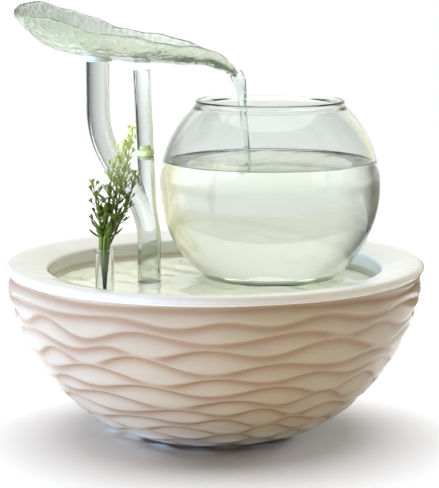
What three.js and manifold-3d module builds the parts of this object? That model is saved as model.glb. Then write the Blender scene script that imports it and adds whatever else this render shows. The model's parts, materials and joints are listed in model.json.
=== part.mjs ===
// Tabletop glass-leaf fountain with its submersible pump, as separate pieces.
// Millimetres, +Z up. Origin: centre of the basin's foot, on the table. -Y is the front, +X the right.
import * as THREE from "three";
import { mergeVertices } from "three/addons/utils/BufferGeometryUtils.js";
import Module from "manifold-3d";

const wasm = await Module();
wasm.setup();

// ---- Driving dimensions -------------------------------------------------------------------------
const GAP = 0.3; // clearance between neighbouring pieces

// Ceramic basin: a bowl with a broad rim, a collar that hangs inside it and a ledge for the tray.
const BASIN = {
  lip: 155, // largest radius, at the rim's nose
  wall: 152, // radius that the outer wall reaches under the rim
  foot: 50, // radius where the outer wall meets the table
  shoulder: 115, // height at which the wall reaches its full radius
  top: 125.5, // highest point of the rim
  edge: 121.5, // height of the rim's inner edge
  floor: 9,
  collar: 123, // inner radius of the collar
  collarWall: 6,
  ledge: 99, // height that the tray rests on
  ledgeDepth: 5.5,
  ledgeReach: 116,
  flangeUnder: 110, // underside of the rim
  thick: 7,
};
// The power cable's way out: a hole in the tray, then a tunnel through the back of the rim.
const CABLE = { z: 115.5, tunnel: 4.5, bore: 3, collar: 7.5, seat: 150.5, trayHole: [0, 107, 6] };

const TRAY = { radius: 122.2, under: BASIN.ledge + GAP, top: 105, drains: 9, drain: 2 };
const RISER_AT = [-48.5, 5]; // where the glass riser passes through the tray
const VIAL_AT = [-77.4, -72];
const BOWL_AT = [41.5, 31];

// Glass riser: a lower tube that forks into a swept branch for the leaf and a short straight arm.
const RISER = { radius: 8.6, bore: 6.7, bottom: 78, fork: 148, forkTop: 168 };
const BRANCH = { radius: 8.6, bore: 6.8, x: -85.7, top: 281, low: 138, bend: 240 };
const ARM = { radius: 6.4, bore: 4.8, lean: THREE.MathUtils.degToRad(2.4), length: 56 };
const STOPPER = { radius: 6.2, bore: 4.6, band: 5, spigot: 8, length: 58 };

const BOWL = { radius: 83, wall: 2.8, base: 44, baseThick: 6, mouth: 55, bead: 2.2 };
const VIAL = { radius: 6.6, wall: 1.1, bottom: 92, top: 147, lip: 0.7 };
const PLANT = { foot: 96, neck: 150, top: 236, lean: THREE.MathUtils.degToRad(9) };

const LEAF = { wall: 3.2, hole: 11, seat: 275, turn: THREE.MathUtils.degToRad(6) };
// Stations along the leaf: distance from the riser's branch, half width, and the heights of the near
// rim, the far rim and the belly. The head is to the left and the spout to the right.
const LEAF_STATIONS = [
  [-60, 6, 309, 311, 306],
  [-54, 24, 309, 316, 299],
  [-43, 36, 307, 317, 289],
  [-28, 44, 304, 313, 281.5],
  [-10, 47, 298, 306, 278.5],
  [14, 44, 293.5, 296, 275],
  [38, 35, 289.5, 292.5, 272.8],
  [62, 23, 285, 287, 271],
  [82, 13, 281, 281.5, 269],
  [94, 9, 275, 276, 264.5],
  [102, 7, 267, 267, 260.5],
];

// Pump: its own frame has the rotor's axis along X, the intake towards +X and the origin at the volute.
const PUMP_AT = [RISER_AT[0], -1, 46];
const PUMP = {
  width: 36,
  low: -26,
  high: 20,
  back: -31,
  face: -7,
  wall: 2,
  corner: 5,
  outlet: RISER_AT[1] + 1, // sideways offset of the tangential outlet
  outletRadius: 6,
  outletBore: 4.2,
  outletTop: 28,
  volute: 16,
  chamber: 13.5,
  wellRadius: 8.6,
  wellBore: 7.2,
  wellEnd: -28.6,
  strainerFront: 20,
  strainerWall: 1.6,
};
const SHAFT = { radius: 1.2, bore: 1.5 };
const SCREWS = [
  [-13, -9],
  [-13, 9],
];
const CUPS = [
  [-5, -9],
  [-5, 9],
  [14, -9],
  [14, 9],
];
const PLATE = { low: PUMP.low - 3.5, high: PUMP.low - GAP };
// Laminated U core: two poles beside the rotor's well, joined by a yoke underneath.
const CORE = { back: -23, front: -13, low: -23.5, yoke: 4.5, poleIn: 6.8, poleOut: 12, high: 8 };
// The flow regulator: a shutter disc over two ports, turned by a grip bar.
const DIAL = { z: -3, radius: 9.6, thick: 2, ports: [-5.6, 5.6] };
const GLAND = { z: 11, bore: 2.4 };

// ---- Materials ----------------------------------------------------------------------------------
const paint = (color, roughness, metalness = 0, opacity = 1) =>
  new THREE.MeshStandardMaterial({ color, roughness, metalness, opacity, transparent: opacity < 1 });

const GLAZE = paint(0xf1eee7, 0.18);
const TRAY_GLAZE = paint(0xeceadf, 0.3);
const GLASS = paint(0xe8f2ee, 0.03, 0, 0.35);
const LEAF_GLASS = paint(0xcfe6cf, 0.08, 0, 0.45);
const SILICONE = paint(0xdfe6dc, 0.5, 0, 0.8);
const GREEN_SILICONE = paint(0xc2cf86, 0.45);
const RUBBER = paint(0x1c1c1c, 0.75);
const BLACK_PLASTIC = paint(0x17181a, 0.4);
const GREY_PLASTIC = paint(0x3a3d40, 0.45);
const BOBBIN_PLASTIC = paint(0xe6e2d6, 0.5);
const CERAMIC = paint(0xf5f5f2, 0.35);
const FERRITE = paint(0x2b2b2d, 0.6, 0.2);
const IRON = paint(0x8a8c8f, 0.4, 0.9);
const COPPER = paint(0xb4693a, 0.35, 0.9);
const STEEL = paint(0xc4c6c8, 0.3, 1);
const FOAM = paint(0x2a2f33, 0.95);
const STEM_GREEN = paint(0x44601f, 0.55);
const LEAF_GREEN = paint(0x6f9a2c, 0.55);

// ---- Shape helpers ------------------------------------------------------------------------------
const up = new THREE.Matrix4().makeRotationX(Math.PI / 2); // a lathe or cylinder along Y turns to Z
const alongX = new THREE.Matrix4().makeRotationZ(-Math.PI / 2);
const at = (x, y, z) => new THREE.Matrix4().makeTranslation(x, y, z);
const v2 = ([x, y]) => new THREE.Vector2(x, y);

function solid(geometry, ...matrices) {
  const bare = geometry.clone();
  bare.deleteAttribute("normal");
  bare.deleteAttribute("uv");
  for (const matrix of matrices) bare.applyMatrix4(matrix);
  const merged = mergeVertices(bare, 1e-3);
  return new wasm.Manifold(
    new wasm.Mesh({
      numProp: 3,
      vertProperties: merged.attributes.position.array,
      triVerts: new Uint32Array(merged.index.array),
    }),
  );
}

const cylinder = (radius, low, high, sides = 20) =>
  solid(new THREE.CylinderGeometry(radius, radius, high - low, sides), up, at(0, 0, (low + high) / 2));

const cylinderX = (radius, low, high, sides = 20) =>
  solid(new THREE.CylinderGeometry(radius, radius, high - low, sides), alongX, at((low + high) / 2, 0, 0));

// A box from its lowest and highest corners.
const box = (low, high) =>
  solid(
    new THREE.BoxGeometry(high[0] - low[0], high[1] - low[1], high[2] - low[2]),
    at((low[0] + high[0]) / 2, (low[1] + high[1]) / 2, (low[2] + high[2]) / 2),
  );

// A profile of [radius, height] turned about Z. It runs anticlockwise, or starts and ends on the axis.
const turned = (profile, sides = 20) => solid(new THREE.LatheGeometry(profile.map(v2), sides), up);

// A rounded rectangle in the YZ plane, swept along X from low to high.
function roundedBar(width, bottom, top, corner, low, high) {
  const half = width / 2;
  const shape = new THREE.Shape();
  shape.moveTo(half - corner, bottom);
  shape.absarc(half - corner, bottom + corner, corner, -Math.PI / 2, 0);
  shape.absarc(half - corner, top - corner, corner, 0, Math.PI / 2);
  shape.absarc(-half + corner, top - corner, corner, Math.PI / 2, Math.PI);
  shape.absarc(-half + corner, bottom + corner, corner, Math.PI, Math.PI * 1.5);
  const settings = { depth: high - low, bevelEnabled: false, curveSegments: 2 };
  const bar = new THREE.ExtrudeGeometry(shape, settings);
  const toX = new THREE.Matrix4().makeBasis(
    new THREE.Vector3(0, 1, 0),
    new THREE.Vector3(0, 0, 1),
    new THREE.Vector3(1, 0, 0),
  );
  return solid(bar, toX, at(low, 0, 0));
}

// A round bar along a curve.
function swept(curve, radius, steps, sides = 16) {
  const section = new THREE.Shape().absarc(0, 0, radius, 0, 2 * Math.PI);
  const curveSegments = sides / 2; // an arc of a full turn gets two sides per segment
  const options = { extrudePath: curve, steps, curveSegments, bevelEnabled: false };
  return solid(new THREE.ExtrudeGeometry(section, options));
}

// A closed body through rings of points, with a fan over each end.
function loft(rings) {
  const n = rings[0].length;
  const centre = (ring) => ring.reduce((sum, p) => sum.clone().add(p), new THREE.Vector3()).divideScalar(n);
  const points = [...rings.flat(), centre(rings[0]), centre(rings.at(-1))];
  const index = [];
  for (let i = 0; i + 1 < rings.length; i++)
    for (let j = 0; j < n; j++) {
      const a = i * n + j;
      const b = i * n + ((j + 1) % n);
      index.push(a, b, b + n, a, b + n, a + n);
    }
  const lastRing = (rings.length - 1) * n;
  for (let j = 0; j < n; j++) {
    const next = (j + 1) % n;
    index.push(points.length - 2, next, j, points.length - 1, lastRing + j, lastRing + next);
  }
  const geometry = new THREE.BufferGeometry().setFromPoints(points);
  geometry.setIndex(index);
  return solid(geometry);
}

const joined = (...solids) => solids.reduce((sum, next) => sum.add(next));

function mesh(name, body, material) {
  const { numProp, numVert, vertProperties, triVerts } = body.getMesh();
  const position = new Float32Array(numVert * 3);
  for (let i = 0; i < numVert; i++) {
    position.set(vertProperties.subarray(i * numProp, i * numProp + 3), i * 3);
  }
  const geometry = new THREE.BufferGeometry()
    .setAttribute("position", new THREE.BufferAttribute(position, 3))
    .setIndex(new THREE.BufferAttribute(triVerts, 1));
  geometry.computeVertexNormals();
  const made = new THREE.Mesh(geometry, material);
  made.name = name;
  return made;
}

// ---- Basin --------------------------------------------------------------------------------------
function wallRadius(z) {
  const share = Math.min(1, z / BASIN.shoulder);
  return BASIN.foot + (BASIN.wall - BASIN.foot) * (1 - (1 - share) ** 1.6) ** (1 / 1.8);
}

// Samples the outer wall between two heights, closer together near the foot, where it curves most.
function wallCurve(low, high, count, place) {
  return Array.from({ length: count }, (_, i) => {
    const z = low + (high - low) * (i / (count - 1)) ** 1.7;
    return place(z);
  });
}

function basin() {
  const lift = 5; // the inner wall follows the outer one, raised and drawn in
  const outer = wallCurve(0, BASIN.shoulder - 2, 9, (z) => [wallRadius(z), z]);
  const innerPoint = (z) => [wallRadius(z - lift) - BASIN.thick, z];
  const inner = wallCurve(BASIN.floor, BASIN.flangeUnder, 7, innerPoint);
  const collarOut = BASIN.collar + BASIN.collarWall;
  const profile = [
    [0, 2],
    [BASIN.foot - 8, 2],
    [BASIN.foot - 6, 0],
    ...outer,
    [BASIN.lip - 0.6, BASIN.top - 8],
    [BASIN.lip, BASIN.top - 5],
    [BASIN.lip - 1, BASIN.top - 1.8],
    [BASIN.lip - 4, BASIN.top],
    [BASIN.collar + 3, BASIN.edge + 0.6],
    [BASIN.collar, BASIN.edge - 2],
    [BASIN.collar, BASIN.ledge],
    [BASIN.ledgeReach, BASIN.ledge],
    [BASIN.ledgeReach, BASIN.ledge - BASIN.ledgeDepth],
    [collarOut, BASIN.ledge - BASIN.ledgeDepth],
    [collarOut, BASIN.flangeUnder],
    ...inner.reverse(),
    [0, BASIN.floor],
  ];
  const drill = (radius, from) =>
    solid(new THREE.CylinderGeometry(radius, radius, 60, 20), at(0, from + 30, CABLE.z));
  const tunnel = drill(CABLE.tunnel, BASIN.collar - 10);
  const seat = drill(CABLE.collar + GAP, CABLE.seat);
  return mesh("basin", turned(profile, 40).subtract(tunnel).subtract(seat), GLAZE);
}

function cableGrommet() {
  const profile = [
    [CABLE.bore, -14],
    [CABLE.tunnel - GAP, -14],
    [CABLE.tunnel - GAP, 0],
    [CABLE.collar, 0],
    [CABLE.collar - 0.6, 2.4],
    [CABLE.bore, 2.4],
    [CABLE.bore, -14],
  ];
  const made = mesh("cable_grommet", turned(profile, 18), RUBBER);
  made.rotation.x = -Math.PI / 2;
  made.position.set(0, CABLE.seat + GAP, CABLE.z);
  return made;
}

// ---- Tray and what stands in it -----------------------------------------------------------------
function tray() {
  const edge = 1;
  let body = turned(
    [
      [0, TRAY.under],
      [TRAY.radius, TRAY.under],
      [TRAY.radius, TRAY.top - edge],
      [TRAY.radius - edge, TRAY.top],
      [0, TRAY.top],
    ],
    40,
  );
  const hole = (x, y, radius, sides = 20) =>
    cylinder(radius, TRAY.under - 5, TRAY.top + 5, sides).translate([x, y, 0]);
  const cuts = [hole(...RISER_AT, 12.8), hole(...VIAL_AT, 9.4), hole(...CABLE.trayHole)];
  for (let i = 0; i < TRAY.drains; i++) {
    const angle = THREE.MathUtils.degToRad(105 + (i * 165) / (TRAY.drains - 1));
    cuts.push(hole(104 * Math.cos(angle), 104 * Math.sin(angle), TRAY.drain, 8));
  }
  for (const cut of cuts) body = body.subtract(cut);
  return mesh("tray", body, TRAY_GLAZE);
}

// A silicone ring with a flange on top of the tray, gripping a glass tube.
function grommet(name, [x, y], bore, sleeve, flange) {
  const above = TRAY.top + GAP;
  const profile = [
    [bore, TRAY.under - 1.5],
    [sleeve, TRAY.under - 1.5],
    [sleeve, above],
    [flange, above],
    [flange - 0.8, above + 1.8],
    [bore, above + 1.8],
    [bore, TRAY.under - 1.5],
  ];
  const made = mesh(name, turned(profile, 18), SILICONE);
  made.position.set(x, y, 0);
  return made;
}

function fishBowl() {
  const centre = Math.sqrt(BOWL.radius ** 2 - BOWL.base ** 2);
  const inside = BOWL.radius - BOWL.wall;
  const shellArc = (radius, from, to, steps) =>
    Array.from({ length: steps + 1 }, (_, i) => {
      const angle = from + ((to - from) * i) / steps;
      return [radius * Math.cos(angle), centre + radius * Math.sin(angle)];
    });
  const bottomAngle = -Math.acos(BOWL.base / BOWL.radius);
  const mouthAngle = Math.acos(BOWL.mouth / BOWL.radius);
  const innerBottom = Math.asin((BOWL.baseThick - centre) / inside);
  const innerMouth = Math.acos((BOWL.mouth - BOWL.wall) / inside);
  const mouthHeight = centre + BOWL.radius * Math.sin(mouthAngle);
  const profile = [
    [0, 0],
    ...shellArc(BOWL.radius, bottomAngle, mouthAngle, 13),
    [BOWL.mouth + BOWL.bead - 0.6, mouthHeight + 1],
    [BOWL.mouth + BOWL.bead - 0.8, mouthHeight + 2.8],
    [BOWL.mouth - 0.6, mouthHeight + 3.6],
    [BOWL.mouth - BOWL.wall, mouthHeight + 2.4],
    ...shellArc(inside, innerMouth, innerBottom, 12),
    [0, BOWL.baseThick],
  ];
  const made = mesh("fish_bowl", turned(profile, 32), GLASS);
  made.position.set(...BOWL_AT, TRAY.top + GAP);
  return made;
}

function plantVial() {
  const round = Array.from({ length: 4 }, (_, i) => {
    const angle = (i / 3) * (Math.PI / 2);
    return [Math.sin(angle), 1 - Math.cos(angle)];
  });
  const inside = VIAL.radius - VIAL.wall;
  const profile = [
    ...round.map(([r, z]) => [r * VIAL.radius, VIAL.bottom + z * VIAL.radius]),
    [VIAL.radius, VIAL.top - 2.5],
    [VIAL.radius + VIAL.lip, VIAL.top - 1.2],
    [VIAL.radius + VIAL.lip * 0.7, VIAL.top],
    [inside, VIAL.top],
    ...round.reverse().map(([r, z]) => [r * inside, VIAL.bottom + VIAL.wall + z * inside]),
  ];
  const made = mesh("plant_vial", turned(profile, 18), GLASS);
  made.position.set(...VIAL_AT, 0);
  return made;
}

function plant() {
  const group = new THREE.Group();
  const stem = turned(
    [
      [0, PLANT.foot],
      [1.8, PLANT.foot],
      [1.8, 124],
      [4.6, 144],
      [4, PLANT.neck],
      [0, PLANT.neck],
    ],
    12,
  );
  const reach = PLANT.top - PLANT.neck;
  const foliage = turned(
    [
      [0, GAP],
      [4, GAP],
      [13.5, 0.16 * reach],
      [15, 0.32 * reach],
      [12, 0.58 * reach],
      [8, 0.8 * reach],
      [3, reach],
      [0, reach],
    ],
    14,
  );
  const crown = mesh("plant_foliage", foliage, LEAF_GREEN);
  crown.position.z = PLANT.neck + 1;
  crown.rotation.y = PLANT.lean;
  group.add(mesh("plant_stem", stem, STEM_GREEN), crown);
  group.position.set(...VIAL_AT, 0);
  return group;
}

// ---- Glass riser, stopper and leaf --------------------------------------------------------------
// The branch's centre line in the riser's own frame: its origin is the lower tube's axis at z = 0.
function branchCurve(low, high) {
  const reach = BRANCH.x - RISER_AT[0];
  const rise = BRANCH.bend - BRANCH.low;
  const p = (x, z) => new THREE.Vector3(x, 0, z);
  const leave = p(0, BRANCH.low + 0.46 * rise);
  const arrive = p(reach, BRANCH.bend - 0.48 * rise);
  const path = new THREE.CurvePath();
  path.add(new THREE.CubicBezierCurve3(p(0, low), leave, arrive, p(reach, BRANCH.bend)));
  path.add(new THREE.LineCurve3(p(reach, BRANCH.bend), p(reach, high)));
  return path;
}

function glassRiser() {
  const lean = new THREE.Matrix4().makeRotationY(-ARM.lean);
  const arm = (radius, low, high) =>
    solid(
      new THREE.CylinderGeometry(radius, radius, high - low, 16),
      up,
      at(0, 0, (low + high) / 2),
      lean,
      at(0, 0, RISER.fork),
    );
  const neck = (radius, top) =>
    turned(
      [
        [0, RISER.bottom],
        [radius, RISER.bottom],
        [radius, RISER.fork - 8],
        [radius * 0.8, top],
        [0, top],
      ],
      16,
    );
  const glass = joined(
    neck(RISER.radius, RISER.forkTop),
    swept(branchCurve(BRANCH.low, BRANCH.top), BRANCH.radius, 16),
    arm(ARM.radius, 0, ARM.length),
  );
  const water = joined(
    cylinder(RISER.bore, RISER.bottom - 1, RISER.fork + 2, 16),
    swept(branchCurve(BRANCH.low + 2, BRANCH.top + 1), BRANCH.bore, 16),
    arm(ARM.bore, -6, ARM.length + 1),
  );
  const made = mesh("glass_riser", glass.subtract(water), GLASS);
  made.position.set(...RISER_AT, 0);
  return made;
}

// The plug that closes the straight arm, and the clear tube that it carries.
function stopper() {
  const spigot = ARM.bore - GAP;
  const upper = STOPPER.bore - GAP;
  const seal = turned([
    [0, -STOPPER.spigot],
    [spigot - 0.5, -STOPPER.spigot],
    [spigot, GAP],
    [ARM.radius + 0.2, GAP],
    [ARM.radius + 0.2, STOPPER.band],
    [upper, STOPPER.band],
    [upper - 0.5, STOPPER.band + STOPPER.spigot],
    [0, STOPPER.band + STOPPER.spigot],
  ]);
  const foot = STOPPER.band + GAP;
  const tube = turned([
    [STOPPER.bore, foot],
    [STOPPER.radius, foot],
    [STOPPER.radius, foot + STOPPER.length],
    [STOPPER.bore, foot + STOPPER.length],
    [STOPPER.bore, foot],
  ]);
  const group = new THREE.Group();
  group.add(mesh("stopper_seal", seal, GREEN_SILICONE), mesh("stopper_tube", tube, GLASS));
  group.rotation.y = -ARM.lean;
  const along = ARM.length;
  group.position.set(
    RISER_AT[0] - along * Math.sin(ARM.lean),
    RISER_AT[1],
    RISER.fork + along * Math.cos(ARM.lean),
  );
  return group;
}

function leafRing([u, half, near, far, belly], inset, open) {
  const ring = [];
  const bellySteps = 8;
  for (let i = 0; i <= bellySteps; i++) {
    const angle = (i / bellySteps) * Math.PI;
    const side = -Math.cos(angle);
    const rim = near + ((far - near) * (side + 1)) / 2;
    const depth = Math.sin(angle) ** 0.8;
    const bottom = belly + inset;
    const width = Math.max(half - inset, 2);
    ring.push(new THREE.Vector3(u, side * width, rim + open - (rim + open - bottom) * depth));
  }
  return ring;
}

function leafSpout() {
  const outer = loft(LEAF_STATIONS.map((station) => leafRing(station, 0, 0)));
  const past = [112, 7, 258, 258, 251];
  const hollow = [...LEAF_STATIONS.slice(1), past].map((station) => leafRing(station, LEAF.wall, 9));
  const inlet = cylinder(LEAF.hole, 260, 300);
  const made = mesh("leaf_spout", outer.subtract(loft(hollow)).subtract(inlet), LEAF_GLASS);
  made.position.set(BRANCH.x, RISER_AT[1], 0);
  made.rotation.z = LEAF.turn;
  return made;
}

function leafSeal() {
  const bore = BRANCH.radius + GAP;
  const sleeve = LEAF.hole - 0.5;
  const made = mesh(
    "leaf_seal",
    turned([
      [bore, LEAF.seat - 2],
      [sleeve + 2.6, LEAF.seat - 2],
      [sleeve + 2.6, LEAF.seat],
      [sleeve, LEAF.seat],
      [sleeve, LEAF.seat + 8],
      [bore, LEAF.seat + 8],
      [bore, LEAF.seat - 2],
    ]),
    SILICONE,
  );
  made.position.set(BRANCH.x, RISER_AT[1], 0);
  return made;
}

// ---- Pump ---------------------------------------------------------------------------------------
function pumpHousing() {
  const { width, low, high, back, face, wall, corner } = PUMP;
  const shell = roundedBar(width, low, high, corner, back, face).subtract(
    roundedBar(width - 2 * wall, low + wall, high - wall, corner - wall, back - 1, face - 2.5),
  );
  const well = cylinderX(PUMP.wellRadius, PUMP.wellEnd, face - 1);
  const cavity = cylinderX(PUMP.wellBore, PUMP.wellEnd + 1.6, face + 1);
  const seatCore = cylinderX(PUMP.chamber, face - 2, face + 2);
  const gasketSeat = cylinderX(16.3, face - 1.2, face + 1).subtract(seatCore);
  let body = shell.add(well).subtract(cavity).subtract(gasketSeat);
  for (const [x, y] of SCREWS) {
    body = body.subtract(cylinder(1.6, low - 1, low + wall + 1, 8).translate([x, y, 0]));
  }
  return mesh("pump_housing", body, BLACK_PLASTIC);
}

function pumpBackCover() {
  const { width, low, high, back, wall, corner } = PUMP;
  const inset = wall + GAP;
  const plate = roundedBar(width - 2 * inset, low + inset, high - inset, corner - inset, back, back + 1.8);
  const leadHole = cylinderX(GLAND.bore, back - 1, back + 3, 12).translate([0, 0, GLAND.z]);
  return mesh("pump_back_cover", plate.subtract(leadHole), GREY_PLASTIC);
}

// The last layer of the resin that fills the coil chamber and keeps the water out.
function pottingResin() {
  const { width, low, high, back, wall, corner, wellRadius } = PUMP;
  const inset = wall + GAP;
  const rear = back + 2.2;
  const front = back + 4.6;
  const layer = roundedBar(width - 2 * inset, low + inset, high - inset, corner - inset, rear, front);
  const leadHole = cylinderX(GLAND.bore, back, back + 6, 12).translate([0, 0, GLAND.z]);
  const well = cylinderX(wellRadius + GAP, back, back + 6);
  return mesh("potting_resin", layer.subtract(well).subtract(leadHole), FERRITE);
}

function basePlate() {
  let plate = box([-21, -15, PLATE.low], [18, 15, PLATE.high]);
  const pin = (radius) => cylinder(radius, PLATE.low - 1, PLATE.high + 1, 10);
  const drill = ([x, y], radius) => pin(radius).translate([x, y, 0]);
  for (const cup of CUPS) plate = plate.subtract(drill(cup, 2.4));
  for (const screw of SCREWS) plate = plate.subtract(drill(screw, 1.6));
  return mesh("pump_base_plate", plate, BLACK_PLASTIC);
}

function baseScrews() {
  return SCREWS.map(([x, y], i) => {
    const head = PLATE.low - GAP;
    const screw = turned(
      [
        [0, head - 1.6],
        [2.2, head - 1.6],
        [2.6, head],
        [1.25, head],
        [1.25, PUMP.low + 1.4],
        [0, PUMP.low + 1.8],
      ],
      12,
    );
    const made = mesh(`base_screw_${i + 1}`, screw, STEEL);
    made.position.set(x, y, 0);
    return made;
  });
}

function suctionCups() {
  const foot = BASIN.floor + GAP - PUMP_AT[2];
  return CUPS.map(([x, y], i) => {
    const cup = turned(
      [
        [0, foot + 2.2],
        [4, foot + 1.4],
        [6.4, foot],
        [7, foot + 0.4],
        [4, foot + 3.4],
        [3.4, PLATE.low - GAP],
        [2, PLATE.low - GAP],
        [2, PLATE.high - 0.4],
        [0, PLATE.high - 0.4],
      ],
      14,
    );
    const made = mesh(`suction_cup_${i + 1}`, cup, RUBBER);
    made.position.set(x, y, 0);
    return made;
  });
}

function statorCore() {
  const u = box([CORE.back, -CORE.poleOut, CORE.low], [CORE.front, CORE.poleOut, CORE.high]).subtract(
    box([CORE.back - 1, -CORE.poleIn, CORE.low + CORE.yoke], [CORE.front + 1, CORE.poleIn, CORE.high + 1]),
  );
  return mesh("stator_core", u.subtract(cylinderX(PUMP.wellRadius + GAP, -40, 0)), IRON);
}

// A rectangular ring around one pole of the core.
function poleRing(side, inner, outer, low, high) {
  const y = (side * (CORE.poleIn + CORE.poleOut)) / 2;
  const x = (CORE.back + CORE.front) / 2;
  const halfY = (CORE.poleOut - CORE.poleIn) / 2;
  const halfX = (CORE.front - CORE.back) / 2;
  const slab = (grow, a, b) =>
    box([x - halfX - grow, y - halfY - grow, a], [x + halfX + grow, y + halfY + grow, b]);
  return slab(outer, low, high).subtract(slab(inner, low - 1, high + 1));
}

function windings() {
  const low = CORE.low + CORE.yoke + GAP;
  const high = -9.8;
  const flange = 0.9;
  return [
    ["front", -1],
    ["rear", 1],
  ].flatMap(([label, side]) => {
    const bobbin = joined(
      poleRing(side, GAP, 1.1, low, high),
      poleRing(side, GAP, 2.9, low, low + flange),
      poleRing(side, GAP, 2.9, high - flange, high),
    );
    const coil = poleRing(side, 1.4, 2.8, low + flange + GAP, high - flange - GAP);
    return [mesh(`bobbin_${label}`, bobbin, BOBBIN_PLASTIC), mesh(`coil_${label}`, coil, COPPER)];
  });
}

function rotorMagnet() {
  const body = cylinderX(6.6, -25, -9).subtract(cylinderX(SHAFT.bore, -30, 0, 16));
  return mesh("rotor_magnet", body, FERRITE);
}

function impeller() {
  const blades = 6;
  let body = cylinderX(4, -8.6, 3, 14).add(cylinderX(11.5, -4.6, -3.4));
  for (let i = 0; i < blades; i++) {
    const turn = new THREE.Matrix4().makeRotationX((i * 2 * Math.PI) / blades);
    const blade = new THREE.BoxGeometry(6.6, 8.4, 1.1);
    body = body.add(solid(blade, at(-0.2, 7.2, 0), turn));
  }
  return mesh("impeller", body.subtract(cylinderX(SHAFT.bore, -12, 8, 12)), BOBBIN_PLASTIC);
}

function shaftAndBushes() {
  const bush = (low, high) =>
    cylinderX(2.9, low, high, 12).subtract(cylinderX(SHAFT.bore, low - 1, high + 1, 12));
  return [
    mesh("rotor_shaft", cylinderX(SHAFT.radius, -26.4, 5.2, 12), CERAMIC),
    mesh("rear_bush", bush(-26.7, -25.3), RUBBER),
    mesh("front_bush", bush(3.6, 5.4), RUBBER),
  ];
}

function voluteCover() {
  const { volute, chamber, face, outlet, outletRadius, outletBore, outletTop } = PUMP;
  const rear = face + 0.5;
  const front = 6.5;
  const pipe = cylinder(outletRadius, 2, outletTop, 16).translate([0, outlet, 0]);
  const bore = cylinder(outletBore, 0, outletTop + 1, 16).translate([0, outlet, 0]);
  const cup = cylinderX(volute, rear, front, 24);
  const hollow = cylinderX(chamber, rear - 1, front - 1.5, 24);
  const intake = cylinderX(7.4, 0, front + 1, 18);
  const boss = cylinderX(4.2, 3.4, front, 14).subtract(cylinderX(3.2, 3, front - 0.8, 14));
  let body = cup.add(pipe).subtract(hollow).subtract(bore).subtract(intake).add(boss);
  for (let i = 0; i < 3; i++) {
    const turn = new THREE.Matrix4().makeRotationX((i * 2 * Math.PI) / 3);
    body = body.add(solid(new THREE.BoxGeometry(1.5, 5, 1.6), at(front - 0.75, 6, 0), turn));
  }
  return mesh("volute_cover", body, BLACK_PLASTIC);
}

function voluteSeal() {
  const low = PUMP.face - 0.9;
  const ring = cylinderX(15.9, low, low + 1.1).subtract(cylinderX(PUMP.chamber + 0.5, low - 1, low + 2));
  return mesh("volute_seal", ring, RUBBER);
}

function strainerCover() {
  const { width, low, high, corner, strainerFront: front, strainerWall: wall, outlet } = PUMP;
  const rear = PUMP.face + GAP;
  let body = roundedBar(width, low, high, corner, rear, front).subtract(
    roundedBar(width - 2 * wall, low + wall, high - wall, corner - wall, rear - 1, front - wall),
  );
  const notch = outlet - 6.6;
  body = body.subtract(box([rear - 1, notch, high - 4], [0, outlet + 6.6, high + 1]));
  body = body.subtract(cylinder(6.6, high - 4, high + 1, 16).translate([0, outlet, 0]));
  const slot = (y, a, b) => box([front - 3, y - 1.1, a], [front + 1, y + 1.1, b]);
  for (const y of [-13.4, -9.9, 9.9, 13.4]) body = body.subtract(slot(y, low + 7, high - 7));
  for (const y of [-6.4, -3.2, 0, 3.2, 6.4])
    body = body.subtract(slot(y, low + 4, low + 13)).subtract(slot(y, high - 9, high - 4));
  const drill = (radius, z) => cylinderX(radius, front - 3, front + 1, 12).translate([0, 0, z]);
  for (const z of DIAL.ports) body = body.subtract(drill(3, z + DIAL.z));
  body = body.subtract(drill(1.9, DIAL.z));
  return mesh("strainer_cover", body, BLACK_PLASTIC);
}

function filterSponge() {
  const { width, low, high, strainerFront: front, strainerWall: wall } = PUMP;
  const inset = wall + 0.8;
  const block = roundedBar(width - 2 * inset, low + inset, high - inset, 2, 7.6, front - wall - 1.4);
  return mesh("filter_sponge", block.subtract(cylinderX(2.5, 12, 20, 12).translate([0, 0, DIAL.z])), FOAM);
}

function flowDial() {
  const low = PUMP.strainerFront + GAP;
  const high = low + DIAL.thick;
  let body = cylinderX(DIAL.radius, low, high);
  for (const z of DIAL.ports) {
    body = body.subtract(cylinderX(2.7, low - 1, high + 1, 12).translate([0, 0, z]));
  }
  const grip = box([high - 0.5, -7, -1.3], [high + 3.4, 7, 1.3]);
  const pin = cylinderX(1.6, PUMP.strainerFront - PUMP.strainerWall - 0.8, low + 0.5, 12);
  const made = mesh("flow_dial", joined(body, grip, pin), GREY_PLASTIC);
  made.position.z = DIAL.z;
  return made;
}

function cableGland() {
  const profile = [
    [GLAND.bore, 0],
    [5, 0],
    [5, 2.4],
    [3.8, 3],
    [3.3, 8],
    [GLAND.bore, 8],
    [GLAND.bore, 0],
  ];
  const made = mesh("cable_gland", turned(profile, 16), RUBBER);
  made.rotation.y = -Math.PI / 2;
  made.position.set(PUMP.back - GAP, 0, GLAND.z);
  return made;
}

function riserCoupler() {
  const pipeTop = PUMP_AT[2] + PUMP.outletTop;
  const grip = PUMP.outletRadius + GAP;
  const socket = RISER.radius + GAP;
  const low = pipeTop - 7;
  const step = pipeTop + 1;
  const profile = [
    [grip, low],
    [9, low],
    [9, step],
    [11.8, step + 3],
    [11.8, step + 19],
    [socket, step + 19],
    [socket, step + 2],
    [grip - 1.4, step + 2],
    [grip - 1.4, step],
    [grip, step],
    [grip, low],
  ];
  const made = mesh("riser_coupler", turned(profile, 18), SILICONE);
  made.position.set(...RISER_AT, 0);
  return made;
}

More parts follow.
